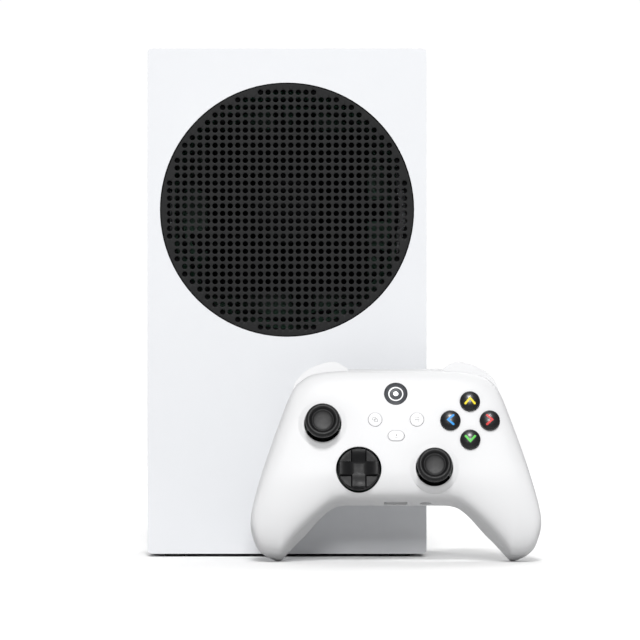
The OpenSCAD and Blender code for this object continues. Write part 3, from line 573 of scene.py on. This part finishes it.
def laid_ring(name, ring, profile, level=None, reach=1.0):
    """A closed strip round a hole: ring(offset) gives its (u, v) points, and profile pairs
    an offset with a rise over the face. level holds the inner part at one height."""
    verts, faces = [], []
    cols = [ring(off) for off, _ in profile]
    n, m = len(cols[0]), len(profile)
    for i in range(n):
        for k, (off, rise) in enumerate(profile):
            u, v = cols[k][i]
            h = face_height(u, v)
            if level is not None:
                t = clamp(off / reach, 0, 1)
                h = level * (1 - t) + h * t
            verts.append((u, v, h + rise))
    for i in range(n):
        j = (i + 1) % n
        for k in range(m):
            q = (k + 1) % m
            faces.append([i * m + k, j * m + k, j * m + q, i * m + q])
    link(name, mesh_of(name, verts, faces), PAD_WHITE, "pad", sharp=50)


LIP = [(0.95, -0.10), (0.95, 0.0), (0.70, 0.02), (0.42, 0.0), (0.22, -0.06), (0.07, -0.18),
       (0.0, -0.38), (-0.03, -1.7), (0.25, -1.7)]


def round_lip(name, u, v, r, n=96):
    laid_ring(name, lambda off: round_points(u, v, r + off, n), LIP)


for key, c in LETTERS.items():
    round_lip("lip_" + key, c.x, c.y, LETTER_HOLE)
round_lip("lip_view", VIEW.x, VIEW.y, SMALL_HOLE, 64)
round_lip("lip_menu", MENU.x, MENU.y, SMALL_HOLE, 64)
round_lip("lip_dpad", DPAD.x, DPAD.y, DPAD_HOLE, 128)
laid_ring("lip_share", lambda off: slot_points(
    SHARE.x, SHARE.y, SHARE_HOLE[0] + 2 * off, SHARE_HOLE[1] + 2 * off), LIP)
home_seat = PAD.inverted() @ (HOME @ Vector((0, 0, FACE_W)))
laid_ring("lip_home", lambda off: round_points(0, home_seat.y, HOME_HOLE + off, 96), LIP)
COLLAR = [(3.3, -0.25), (3.3, -0.02), (2.6, 0.10), (2.0, 0.24), (1.45, 0.42), (1.0, 0.55),
          (0.62, 0.60), (0.30, 0.55), (0.10, 0.40), (0.0, 0.15), (0.0, -2.1), (0.6, -2.1)]
for side, (u, v) in (("left", LEFT_STICK), ("right", RIGHT_STICK)):
    laid_ring("collar_" + side, lambda off, u=u, v=v: round_points(u, v, STICK_HOLE + off, 128),
              COLLAR, level=FACE_W, reach=COLLAR[0][0])

# ---- back shell, with the pockets for the triggers, the battery hole and the screw wells
TRIGGER_U, TRIGGER_W = 38.6, 22.0
hinge = PAD.inverted() @ Vector(joint["trigger_right_pull"]["pos_m"])
HINGE = (hinge.y, hinge.z)
WELL = [(83.6, -60), (83.6, -20), (86.4, -12), (90, -7.6), (120, -7.6), (120, -60)]
WELL_OUT = [(82, -62), (82, -20.3), (84.9, -11.4), (89.3, -6), (122, -6), (122, -62)]
WELL_WALL = 1.6
BAND_DROP, BAND_DEPTH = 7.0, 14.4
BAND = (-BAND_DEPTH, 16)
DOOR_HALF_U, DOOR_V = 27.0, (45, 89)
DOOR_CUT = (-40, -6)
DOOR_GAP = 0.3
half_well = TRIGGER_W / 2 + 0.6
band = [(u, v_top(share(u)) - BAND_DROP) for u in range(-54, 55, 3)]
band += [(60, 100), (60, 120), (-60, 120), (-60, 100)]


def wells(points, grow):
    """The pockets the triggers swing in."""
    return [prism_u(points, k * TRIGGER_U - half_well - grow, k * TRIGGER_U + half_well + grow)
            for k in (-1, 1)]


# The hole stops just short of the trigger pockets' sides, so no two cutters share a face.
edge = DOOR_HALF_U - 0.02
door_hole = prism(rectangle(-edge, DOOR_V[0], edge, DOOR_V[1]), *DOOR_CUT)
# The accessory port and the headset jack in the lower edge.
LOWER_EDGE = (28, 40)
JACK_R, JACK_AT = 3, (16, 7, 0)
small_cuts = post_rods(SCREW_WELL_R, *SCREW_WELL, 48)
small_cuts.append(prism(rectangle(-6.2, LOWER_EDGE[0], 6.2, LOWER_EDGE[1]), -10.2, -3.8))
small_cuts.append(lathe([(0, LOWER_EDGE[0]), (JACK_R, LOWER_EDGE[0]), (JACK_R, LOWER_EDGE[1]),
                         (0, LOWER_EDGE[1])], JACK_AT, 48,
                        place=PAD @ Matrix.Rotation(-math.pi / 2, 4, "X")))
back = boolean(shell_mesh(-1), [prism(band, *BAND), joined(wells(WELL, 0)), door_hole,
                                joined(small_cuts)])
pockets = boolean(joined(wells(WELL_OUT, WELL_WALL)), [solid_mesh(-1)], "INTERSECT")
pockets = boolean(pockets, [joined(wells(WELL, 0)), prism(band, *BAND)])
tubes = boolean(joined(post_rods(TUBE_R, -30, -3.2, 48)), [solid_mesh(-1)], "INTERSECT")
tubes = boolean(tubes, [joined(post_rods(SCREW_WELL_R, *SCREW_WELL, 48))])
back = link("controller_back", joined([back, pockets, tubes]), PAD_GRIP, "pad",
            sharp=32)
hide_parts("pad_back_shell")

# ---- battery door
edge = DOOR_HALF_U - DOOR_GAP
door_block = prism(rectangle(-edge, DOOR_V[0] + DOOR_GAP, edge, DOOR_V[1] - DOOR_GAP),
                   *DOOR_CUT)
door = boolean(shell_mesh(-1, WALL - 0.2), [door_block], "INTERSECT")
door = link("battery_cover", door, PAD_WHITE, "battery_door", sharp=32)
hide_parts("battery_door")


# ---------------------------------------------------------------- sticks
# Heights over the pivot: the cap's rounded rim with a fine knurl, a dished top, and the dome
# below it. The dome is narrower than the hole and leaves a ring of it open.
CAP_STEPS, RIBS = 432, 72
KNURL = (15, 21)
STICK_DOME, DOME_INNER, DOME_EDGE = 11.0, 10.0, 46


def cap_profile():
    """(radius, height) of the cap. KNURL names the points of it that carry the ribs."""
    pts = [(0.0, 17.86), (1.5, 17.88), (3.0, 17.95), (4.4, 18.10), (5.2, 18.26)]
    pts += [(5.34, 18.34), (5.46, 18.44), (5.60, 18.44), (5.72, 18.40)]      # thin ring line
    pts += [(6.0, 18.58), (6.35, 19.05), (6.7, 19.48), (7.05, 19.73), (7.5, 19.84),
            (7.95, 19.78), (8.35, 19.56), (8.72, 19.2), (9.0, 18.75), (9.18, 18.2),
            (9.26, 17.7), (9.26, 17.0), (9.18, 16.35), (8.95, 15.8), (8.55, 15.42),
            (8.0, 15.24), (6.8, 15.2), (4.6, 15.2), (3.9, 14.9), (3.6, 14.3),
            (0, 14.3)]
    return pts


def on_dome(radius, degrees):
    a = math.radians(degrees)
    return (radius * math.sin(a), radius * math.cos(a))


def neck_profile():
    """(radius, height) of the neck, the dome and the shaft."""
    pts = [(0, 14.4), (3.6, 14.4), (3.55, 13.2), (3.7, 12.2), (4.2, 11.5)]
    pts += [on_dome(STICK_DOME, DOME_EDGE - 2.5 * k) for k in range(8, -1, -1)]
    pts += [on_dome(DOME_INNER, DOME_EDGE), on_dome(DOME_INNER - 0.1, 24), (1.9, 8.8),
            (1.9, 1.2), (0, 1.2)]
    return pts


def knurl(k, i):
    """Fine upright ribs round the outside of the rim."""
    first, last = KNURL
    if not first <= k <= last:
        return 0.0
    deep = math.sin(math.pi * (k - first + 1) / (last - first + 2))
    return -0.11 * deep * (0.5 + 0.5 * math.cos(2 * math.pi * i * RIBS / CAP_STEPS)) ** 2


for side, (u, v) in (("left", LEFT_STICK), ("right", RIGHT_STICK)):
    cap = joined([lathe(cap_profile(), (u, v, PIVOT_W), CAP_STEPS, wobble=knurl),
                  lathe(neck_profile(), (u, v, PIVOT_W), 96)])
    cap = link("thumb_stick_" + side, cap, RUBBER, "stick_" + side, sharp=48)
    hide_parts("stick_" + side)

# ---------------------------------------------------------------- direction pad
DISC_R, ARM, ARM_HALF = 11.4, 10.3, 3.75
DISC_LOW = 11.4


def pad_height(x, y):
    """A dish cut into flat facets, with a raised plus across it."""
    ax, ay = abs(x), abs(y)
    r = math.hypot(x, y)
    long, short = max(ax, ay), min(ax, ay)
    edge = ease(clamp((DISC_R - r) / 0.55, 0, 1)) ** 0.5
    low = 13.2 + 0.62 * clamp((ax + ay) / 1.414 / 8.0, 0, 1.2)
    top = 14.25 + 1.5 * ease(clamp((long - 2.2) / 7.6, 0, 1)) ** 0.85
    on_arm = ease(clamp((ARM_HALF + 0.3 - short) / 0.6, 0, 1)
                  * clamp((ARM + 0.3 - long) / 0.6, 0, 1))
    return DISC_LOW + (low + (top - low) * on_arm - DISC_LOW) * edge


def dpad_mesh(rings=74, steps=384):
    """The pad as a disc with a flat bottom. It has no legs down to the rocker."""
    verts, faces = [(0.0, 0.0, pad_height(0, 0))], []
    for k in range(1, rings + 1):
        r = DISC_R * k / rings
        for i in range(steps):
            a = 2 * math.pi * i / steps
            x, y = r * math.cos(a), r * math.sin(a)
            verts.append((x, y, pad_height(x, y)))
    for i in range(steps):
        faces.append([0, 1 + i, 1 + (i + 1) % steps])
    for k in range(rings - 1):
        for i in range(steps):
            j = (i + 1) % steps
            a, b = 1 + k * steps, 1 + (k + 1) * steps
            faces.append([a + i, b + i, b + j, a + j])
    last = 1 + (rings - 1) * steps
    faces.append([last + i for i in range(steps)])
    return mesh_of("dpad", [(DPAD.x + x, DPAD.y + y, z) for x, y, z in verts], faces)


cross = link("direction_pad", dpad_mesh(), DPAD_BLACK, "dpad", sharp=38)
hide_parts("dpad")

# ---------------------------------------------------------------- letter buttons
LETTER_R, DOME, DOME_TOP = 5.25, 14.0, 16.0


def over(height_at):
    """A height over (x, y), from one that depends on the distance from the middle."""
    return lambda x, y: height_at(math.hypot(x, y))


def dome_w(r):
    return DOME_TOP - (DOME - math.sqrt(DOME * DOME - r * r))


def button_profile(r, top_of, flange_r, flange_lo, flange_hi, edge=0.35):
    """(radius, w) of a button with a soft edge and a flange. It has no stem."""
    pts = [(r * k / 14, top_of(r * k / 14)) for k in range(13)]
    pts += [(r - edge * (1 - math.sin(math.radians(t))),
             top_of(r - edge) - edge * (1 - math.cos(math.radians(t)))) for t in range(0, 91, 15)]
    pts += [(r, flange_hi), (flange_r, flange_hi), (flange_r, flange_lo), (0, flange_lo)]
    return pts


# A generic mark for each button: a chevron that points towards its own side.
POINTS_TO = {"button_a": -90, "button_b": 0, "button_x": 180, "button_y": 90}


def chevron(direction, size=2.45, half=0.58):
    """Outline of a chevron as (x, y) points with round ends."""
    heel, tip = -0.62, 0.55
    legs = [(x * size, y * size) for x, y in ((heel, -1.0), (tip, 0.0), (heel, 1.0))]
    side_a, side_b = [], []
    for k in range(3):
        p = Vector(legs[k])
        d = (Vector(legs[min(2, k + 1)]) - Vector(legs[max(0, k - 1)])).normalized()
        normal = Vector((-d.y, d.x))
        w = half / (math.cos(math.atan2(1.0, tip - heel)) if k == 1 else 1)
        side_a.append(p + normal * w)
        side_b.append(p - normal * w)
    ends = []
    for p, q in ((legs[2], legs[1]), (legs[0], legs[1])):
        d = (Vector(p) - Vector(q)).normalized()
        a0 = math.atan2(d.y, d.x)
        ends.append([Vector(p) + half * Vector((math.cos(a0 + t), math.sin(a0 + t)))
                     for t in [math.radians(x) for x in range(60, -61, -20)]])
    line = side_a + ends[0] + side_b[::-1] + ends[1]
    a = math.radians(direction)
    return [(p.x * math.cos(a) - p.y * math.sin(a), p.x * math.sin(a) + p.y * math.cos(a))
            for p in line]


def inlay(name, centre, outlines, height, mat, body, place=PAD, rise=0.05, sink=0.25):
    """Thin plates that follow height(x, y), just above the surface they sit in."""
    parts = []
    for line in outlines:
        bm = bmesh.new()
        top = [bm.verts.new((x, y, 0)) for x, y in line]
        bm.faces.new(top)
        bmesh.ops.triangulate(bm, faces=bm.faces[:])
        bmesh.ops.subdivide_edges(bm, edges=bm.edges[:], cuts=2, use_grid_fill=True)
        flat = bpy.data.meshes.new("flat")
        bm.to_mesh(flat)
        bm.free()
        verts = [tuple(v.co) for v in flat.vertices]
        polys = [list(p.vertices) for p in flat.polygons]
        seen = {}
        for p in polys:
            for k in range(len(p)):
                e = (p[k], p[(k + 1) % len(p)])
                seen[e] = seen.get(e, 0) + 1
        n = len(verts)
        out = [(x + centre[0], y + centre[1], height(x, y) + rise) for x, y, _ in verts]
        out += [(x + centre[0], y + centre[1], height(x, y) - sink) for x, y, _ in verts]
        faces = polys + [[n + i for i in p[::-1]] for p in polys]
        faces += [[b, a, n + a, n + b] for (a, b) in seen if (b, a) not in seen]
        parts.append(mesh_of("plate", out, faces, place))
        bpy.data.meshes.remove(flat)
    link(name, joined(parts), mat, body, sharp=40)


for key, c in LETTERS.items():
    cap = lathe(button_profile(LETTER_R, dome_w, 6.3, 7.0, 8.1), (c.x, c.y, 0), 128)
    cap = link("cap_" + key, cap, BUTTON_GLOSS, key, sharp=50)
    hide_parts(key)
    inlay("mark_" + key, (c.x, c.y), [chevron(POINTS_TO[key])],
          over(dome_w), MARK[key], key)

# ---------------------------------------------------------------- home, view, menu, share
HOME_R, HOME_TOP = 6.05, 12.9


def home_w(r):
    return HOME_TOP - 0.4 * (r / HOME_R) ** 2


profile = button_profile(HOME_R, home_w, 6.9, 7.6, 8.6, edge=0.3)
home = link("cap_home", lathe(profile, (0, 0, 0), 144, place=HOME), HOME_GLOSS, "button_home",
            sharp=50)
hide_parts("button_home")


def ring_inlay(name, r0, r1, height, mat, body, place):
    """A thin flat ring just above the surface it sits in."""
    prof = [(r0, height(r0) - 0.2), (r0, height(r0) + 0.045),
            ((r0 + r1) / 2, height((r0 + r1) / 2) + 0.05), (r1, height(r1) + 0.045),
            (r1, height(r1) - 0.2)]
    me = lathe(prof + [prof[0]], (0, 0, 0), 144, place=place)
    link(name, me, mat, body, sharp=40)


ring_inlay("home_ring", 3.35, 4.0, home_w, ICON_LIGHT, "button_home", HOME)
inlay("home_dot", (0, 0), [round_points(0, 0, 1.25, 32)],
      over(home_w), ICON_LIGHT, "button_home", place=HOME)


def small_w(r):
    return 14.2 - 0.028 * r * r


for key, c in (("button_view", VIEW), ("button_menu", MENU)):
    profile = button_profile(3.6, small_w, 4.4, 7.6, 8.6, edge=0.3)
    cap = link("cap_" + key, lathe(profile, (c.x, c.y, 0), 96), BUTTON_WHITE, key,
               sharp=50)
    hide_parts(key)


def bar(x, y, length, width=0.32):
    return slot_points(x, y, length, width, 5)


def frame_of(x, y, w, h, t=0.26):
    """Four bars round a small rectangle."""
    x0, x1, y0, y1 = x - w / 2, x + w / 2, y - h / 2, y + h / 2
    return [rectangle(x0, y0, x1, y0 + t), rectangle(x0, y1 - t, x1, y1),
            rectangle(x0, y0 + t, x0 + t, y1 - t), rectangle(x1 - t, y0 + t, x1, y1 - t)]


inlay("icon_view", (VIEW.x, VIEW.y),
      frame_of(-0.4, 0.3, 2.0, 1.6) + frame_of(0.45, -0.4, 2.0, 1.6),
      over(small_w), ICON_GREY, "button_view", rise=0.035, sink=0.1)
inlay("icon_menu", (MENU.x, MENU.y), [bar(0, y, 2.5) for y in (0.85, 0, -0.85)],
      over(small_w), ICON_GREY, "button_menu", rise=0.035, sink=0.1)

SHARE_TOP = 14.1


def share_mesh():
    """A rounded slab with a soft edge and a flange under it."""
    rows = [(-1.0, SHARE_TOP), (-0.62, SHARE_TOP - 0.02),
            (-0.33, SHARE_TOP - 0.10), (-0.12, SHARE_TOP - 0.25), (0.0, SHARE_TOP - 0.5),
            (0.0, 9.2), (1.5, 9.2), (1.5, 8.2)]
    verts, faces = [], []
    lines = [slot_points(SHARE.x, SHARE.y, SHARE_SIZE[0] + 2 * off, SHARE_SIZE[1] + 2 * off)
             for off, _ in rows]
    n = len(lines[0])
    for line, (_, w) in zip(lines, rows):
        verts += [(x, y, w) for x, y in line]
    for k in range(len(rows) - 1):
        for i in range(n):
            j = (i + 1) % n
            faces.append([k * n + i, k * n + j, (k + 1) * n + j, (k + 1) * n + i])
    faces.append(list(range(n)))
    faces.append([(len(rows) - 1) * n + i for i in range(n)][::-1])
    return mesh_of("share", verts, faces)


share_cap = link("cap_share", share_mesh(), BUTTON_WHITE, "button_share",
                 sharp=45)
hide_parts("button_share")
arrow = [(-0.55, 0.15), (0, 0.95), (0.55, 0.15), (0.16, 0.15), (0.16, -0.55), (-0.16, -0.55),
         (-0.16, 0.15)]
inlay("icon_share", (SHARE.x, SHARE.y), [arrow, bar(0, -1.0, 1.9, 0.3)],
      lambda x, y: SHARE_TOP, ICON_GREY, "button_share", rise=0.035, sink=0.1)

# ---------------------------------------------------------------- bridge, bumpers, triggers
BRIDGE = [(97.4, -0.4), (99.8, -0.38), (101.8, -0.42), (103, -0.55), (104.2, -0.95),
          (105.1, -1.8), (105.6, -3), (105.85, -4.5), (105.9, -6), (105.65, -8), (105, -10),
          (104.2, -12.2), (103.3, -13.5), (102.4, -13.9), (98.4, -13.9), (98.4, -13.1),
          (100.6, -12.95), (101.6, -12.4), (102.5, -11), (103, -9.4), (103.4, -6),
          (103, -4), (102, -2.8), (99.6, -2.3), (97.4, -2.2)]
bridge = prism_u(BRIDGE, -24.9, 24.9)
port = slot_points(0, -9, 9.6, 3.8, 16)


def prism_v(points, v0, v1):
    """A solid with a flat outline in u and w, from v0 to v1."""
    n = len(points)
    verts = [(x, v0, z) for x, z in points] + [(x, v1, z) for x, z in points]
    faces = [list(range(n)), list(range(n, 2 * n))]
    faces += [[i, (i + 1) % n, n + (i + 1) % n, n + i] for i in range(n)]
    return mesh_of("prism_v", verts, faces)


UPPER_EDGE = (90, 112)
sync = local_centre("pad_sync_button")
bridge = boolean(bridge, [joined([prism_v(port, *UPPER_EDGE),
                                  prism_v(round_points(sync.x, sync.z, 1.9, 48),
                                          *UPPER_EDGE)])])
BUMPER_PIN, PIN_R, PIN_BORE = (28.2, 104.9), 0.85, 0.9
ears = []
for k in (-1, 1):
    ears.append(prism(rectangle(k * 22, 101.6, k * 30, 106.2), -13.9, -12.7))
    ears.append(prism(round_points(k * BUMPER_PIN[0], BUMPER_PIN[1], PIN_R, 32), -13, -8))
bridge = link("bridge", joined([bridge, *ears]), PAD_GLOSS_PAINTED_SHADE, "pad", sharp=30)
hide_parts("pad_bridge")
bevel(bridge, 0.25, 2, 50)

BUMPER_TOP = [(27, 106.2), (29.5, 107.8), (33, 108.9), (36, 108.7), (39.3, 107.8),
              (42.6, 106.7), (45.8, 105.1), (48.2, 103.5), (50.1, 101.8), (51.9, 99.8),
              (53.4, 97.6), (54.4, 94.8), (54.8, 91.6)]
BUMPER_LOW = [(53.6, 90.4), (51.4, 92.4), (49, 93.8), (46, 95), (42, 96.2), (37, 97.1),
              (31, 97.6), (25.3, 97.8)]
for side, k in (("left", -1), ("right", 1)):
    line = ([(25.3, 105.2)] + smooth_line(BUMPER_TOP, 5)
            + smooth_line(BUMPER_LOW, 4))
    line = [(k * u, v) for u, v in line]
    me = prism(line, -12.4, -0.5)
    me = boolean(me, [prism(round_points(k * BUMPER_PIN[0], BUMPER_PIN[1], PIN_BORE, 32),
                            -14, -7)])
    ob = link("bumper_cap_" + side, me, PAD_GLOSS_PAINTED_SHADE, "bumper_" + side, sharp=34)
    bevel(ob, 0.85, 5, 50)
    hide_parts("bumper_" + side)

T_OUTER = [(99, -14.9), (103, -14.9), (104.8, -16.4), (105.8, -20), (105.7, -25),
           (103.9, -30), (100.6, -34.2), (96.2, -37), (92.6, -37.9), (91.6, -37.4)]
T_INNER = [(92.2, -35.8), (95.6, -34.6), (99.2, -31.8), (102, -28), (103.4, -24),
           (103.5, -20), (102.4, -17.4), (99, -16.6)]
T_CHEEK = [(91.2, -33), (90, -25), (90.4, -19), (94.6, -15.6), (97, -15)]
CHEEK_T, HUB_R, SHAFT_BORE = 1.8, 2.5, 1.55
turn = Matrix.Rotation(math.pi / 2, 4, "Y")
outer = [T_OUTER[0]] + smooth_line(T_OUTER[1:], 5)
for side, k in (("left", -1), ("right", 1)):
    a, b = k * TRIGGER_U - TRIGGER_W / 2, k * TRIGGER_U + TRIGGER_W / 2
    blade = prism_u(outer + smooth_line(T_INNER, 5), a, b)
    cheeks = [prism_u(outer + T_CHEEK, a, a + CHEEK_T),
              prism_u(outer + T_CHEEK, b - CHEEK_T, b)]
    at_hinge = PAD @ Matrix.Translation((a, *HINGE)) @ turn
    hub = lathe([(0, 0), (HUB_R, 0), (HUB_R, TRIGGER_W), (0, TRIGGER_W)], (0, 0, 0), 48,
                place=at_hinge)
    me = boolean(blade, cheeks + [hub], "UNION")
    bore = lathe([(0, -5), (SHAFT_BORE, -5), (SHAFT_BORE, TRIGGER_W + 5), (0, TRIGGER_W + 5)],
                 (0, 0, 0), 40, place=at_hinge)
    me = boolean(me, [bore])
    ob = link("trigger_cap_" + side, me, PAD_GLOSS_PAINTED_SHADE, "trigger_" + side, sharp=34)
    bevel(ob, 0.7, 4, 55)
    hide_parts("trigger_" + side)

# ---------------------------------------------------------------- CAD nodes that are kept
# The console and the controller's inner parts: material, width of the rounded edges in mm, and
# the steps across them.
LOOK = {
    "case_vent_half": (CASE_WHITE, 0.9, 5), "case_base_half": (CASE_WHITE, 0.9, 5),
    # The vent tray's near-black is painted shade: it shows through the gap round the grille as
    # that gap's shadow.
    "vent_grille": (VENT_BLACK, 0.12, 2), "vent_tray": (INNER_BLACK_AND_SHADE, 0.2, 2),
    "fan_frame": (INNER_BLACK_AND_SHADE, 0.2, 2), "fan_rotor": (INNER_BLACK_AND_SHADE, 0.15, 2),
    # The heatsink gets near-black in place of its bare metal as painted shade, seen through the
    # grille's holes.
    "heatsink": (INNER_BLACK_AND_SHADE, 0.05, 1), "main_board": (BOARD, 0.1, 1),
    "chassis_shield": (STEEL, 0.15, 2), "power_supply": (DARK_PLASTIC, 0.4, 2),
    "ssd_module": (BOARD, 0.1, 1), "power_button": (BUTTON_WHITE, 0.25, 3),
    "sync_button": (BUTTON_WHITE, 0.2, 3), "front_usb_port": (STEEL, 0.12, 2),
    "hdmi_port": (STEEL, 0.12, 2), "rear_usb_ports": (STEEL, 0.12, 2),
    "ethernet_port": (STEEL, 0.15, 2), "power_inlet": (DARK_PLASTIC, 0.2, 2),
    "storage_slot": (DARK_PLASTIC, 0.2, 2), "stand_feet": (FOOT, 0.2, 2),
    "side_feet": (FOOT, 0.3, 2), "case_screws": (STEEL, 0.1, 2),
    "stick_pivot_left": (DARK_PLASTIC, 0.12, 2),
    "stick_pivot_right": (DARK_PLASTIC, 0.12, 2),
    "stick_yoke_left": (DARK_PLASTIC, 0.12, 2), "stick_yoke_right": (DARK_PLASTIC, 0.12, 2),
    "stick_base_left": (DARK_PLASTIC, 0.12, 2), "stick_base_right": (DARK_PLASTIC, 0.12, 2),
    "dpad_rocker": (DARK_PLASTIC, 0.12, 2), "dpad_post": (DARK_PLASTIC, 0.15, 2),
    "button_mat": (SILICONE, 0.12, 2), "pad_board": (BOARD, 0.1, 1),
    "battery_cells": (CELL, 0.35, 3), "rumble_motors": (STEEL, 0.25, 3),
    "rumble_weight_left": (STEEL, 0.15, 2), "rumble_weight_right": (STEEL, 0.15, 2),
    "pad_ports": (STEEL, 0.1, 2), "pad_sync_button": (DARK_PLASTIC, 0.25, 3),
    "pad_screws": (STEEL, 0.12, 2), "trigger_shafts": (STEEL, 0.15, 2),
    "trigger_springs": (STEEL, 0.08, 1),
}
for name, (mat, width, segments) in LOOK.items():
    ob = nodes[name]
    ob.data.materials.clear()
    ob.data.materials.append(mat)
    for p in ob.data.polygons:
        p.use_smooth = True
        p.material_index = 0
    bevel(ob, width, segments, 40, weld=True)
    flat = ob.modifiers.new("normals", "WEIGHTED_NORMAL")
    flat.keep_sharp = True

# ---------------------------------------------------------------- floor, light and camera
# The floor and the world look brighter to the camera than they are as light on the object.
FLOOR_R, FADE = 2.2, (0.6, 2.1)
FLOOR_AS_LIGHT, FLOOR_SEEN = (0.60, 0.60, 0.60, 1), (0.94, 0.94, 0.94, 1)
WORLD_AS_LIGHT, WORLD_SEEN = 0.25, 1.02
face_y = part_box("vent_grille")[0].y


def floor_material():
    """Pale and matt, darker to bounced light than to the camera, and clear at its rim."""
    m = bpy.data.materials.new("floor_white")
    m.use_nodes = True
    nt = m.node_tree
    b = nt.nodes["Principled BSDF"]
    b.inputs["Roughness"].default_value = 0.7
    b.inputs["Specular IOR Level"].default_value = 0.1
    path = nt.nodes.new("ShaderNodeLightPath")
    mix = nt.nodes.new("ShaderNodeMix")
    mix.data_type = "RGBA"
    mix.inputs["A"].default_value = FLOOR_AS_LIGHT
    mix.inputs["B"].default_value = FLOOR_SEEN
    nt.links.new(path.outputs["Is Camera Ray"], mix.inputs["Factor"])
    nt.links.new(mix.outputs["Result"], b.inputs["Base Color"])
    co = nt.nodes.new("ShaderNodeTexCoord")
    away = nt.nodes.new("ShaderNodeVectorMath")
    away.operation = "LENGTH"
    nt.links.new(co.outputs["Object"], away.inputs[0])
    fade = nt.nodes.new("ShaderNodeMapRange")
    fade.interpolation_type = "SMOOTHSTEP"
    fade.inputs["From Min"].default_value = FADE[0]
    fade.inputs["From Max"].default_value = FADE[1]
    nt.links.new(away.outputs["Value"], fade.inputs["Value"])
    clear = nt.nodes.new("ShaderNodeBsdfTransparent")
    shown = nt.nodes.new("ShaderNodeMixShader")
    nt.links.new(fade.outputs["Result"], shown.inputs["Fac"])
    nt.links.new(b.outputs["BSDF"], shown.inputs[1])
    nt.links.new(clear.outputs["BSDF"], shown.inputs[2])
    nt.links.new(shown.outputs["Shader"], nt.nodes["Material Output"].inputs["Surface"])
    return m


rim = round_points(0, 0, FLOOR_R, 64)
verts = [(0, 0, 0)] + [(x, y, 0) for x, y in rim]
faces = [[0, 1 + i, 1 + (i + 1) % len(rim)] for i in range(len(rim))]
me = mesh_of("floor", verts, faces, place=None)
for p in me.polygons:
    p.use_smooth = True
me.materials.append(floor_material())
floor = bpy.data.objects.new("floor", me)
scene.collection.objects.link(floor)


def area(name, place, target, size, power):
    """A white soft box that the camera doesn't see."""
    data = bpy.data.lights.new(name, "AREA")
    data.energy = power
    data.shape = "RECTANGLE"
    data.size, data.size_y = size
    ob = bpy.data.objects.new(name, data)
    ob.location = place
    ob.rotation_euler = (Vector(target) - Vector(place)).to_track_quat("-Z", "Y").to_euler()
    ob.visible_camera = False
    scene.collection.objects.link(ob)


area("key", (0.0, -2.9, 3.0), (0, 0, 0.10), (0.7, 0.7), 92)
area("front", (0.0, -3.2, 1.65), (0, 0, 0.10), (0.8, 0.6), 42)
area("top", (0.2, -0.3, 2.4), (0, 0.3, 0), (2.2, 1.6), 4)
area("back_light", (0.0, 1.3, 1.8), (0.0, 1.4, 0), (4.0, 1.2), 45)

world = bpy.data.worlds.new("studio")
scene.world = world
world.use_nodes = True
bg = world.node_tree.nodes["Background"]
bg.inputs["Color"].default_value = (1, 1, 1, 1)
path = world.node_tree.nodes.new("ShaderNodeLightPath")
level = world.node_tree.nodes.new("ShaderNodeMapRange")
level.inputs["To Min"].default_value = WORLD_AS_LIGHT
level.inputs["To Max"].default_value = WORLD_SEEN
world.node_tree.links.new(path.outputs["Is Camera Ray"], level.inputs["Value"])
world.node_tree.links.new(level.outputs["Result"], bg.inputs["Strength"])

cam_data = bpy.data.cameras.new("camera")
cam = bpy.data.objects.new("camera", cam_data)
scene.collection.objects.link(cam)
scene.camera = cam
# The camera looks level at the vented face, from DISTANCE, and takes in WIDE metres there.
DISTANCE, WIDE = 2.4, 0.3464
CAMERA_X, CAMERA_Z = -0.01185, 0.1281
SENSOR = 36
cam.location = (CAMERA_X, face_y - DISTANCE, CAMERA_Z)
cam.rotation_euler = (math.pi / 2, 0, 0)
cam_data.sensor_width = SENSOR
cam_data.lens = SENSOR * DISTANCE / WIDE
scene.view_settings.view_transform = "Standard"
scene.view_settings.look = "None"
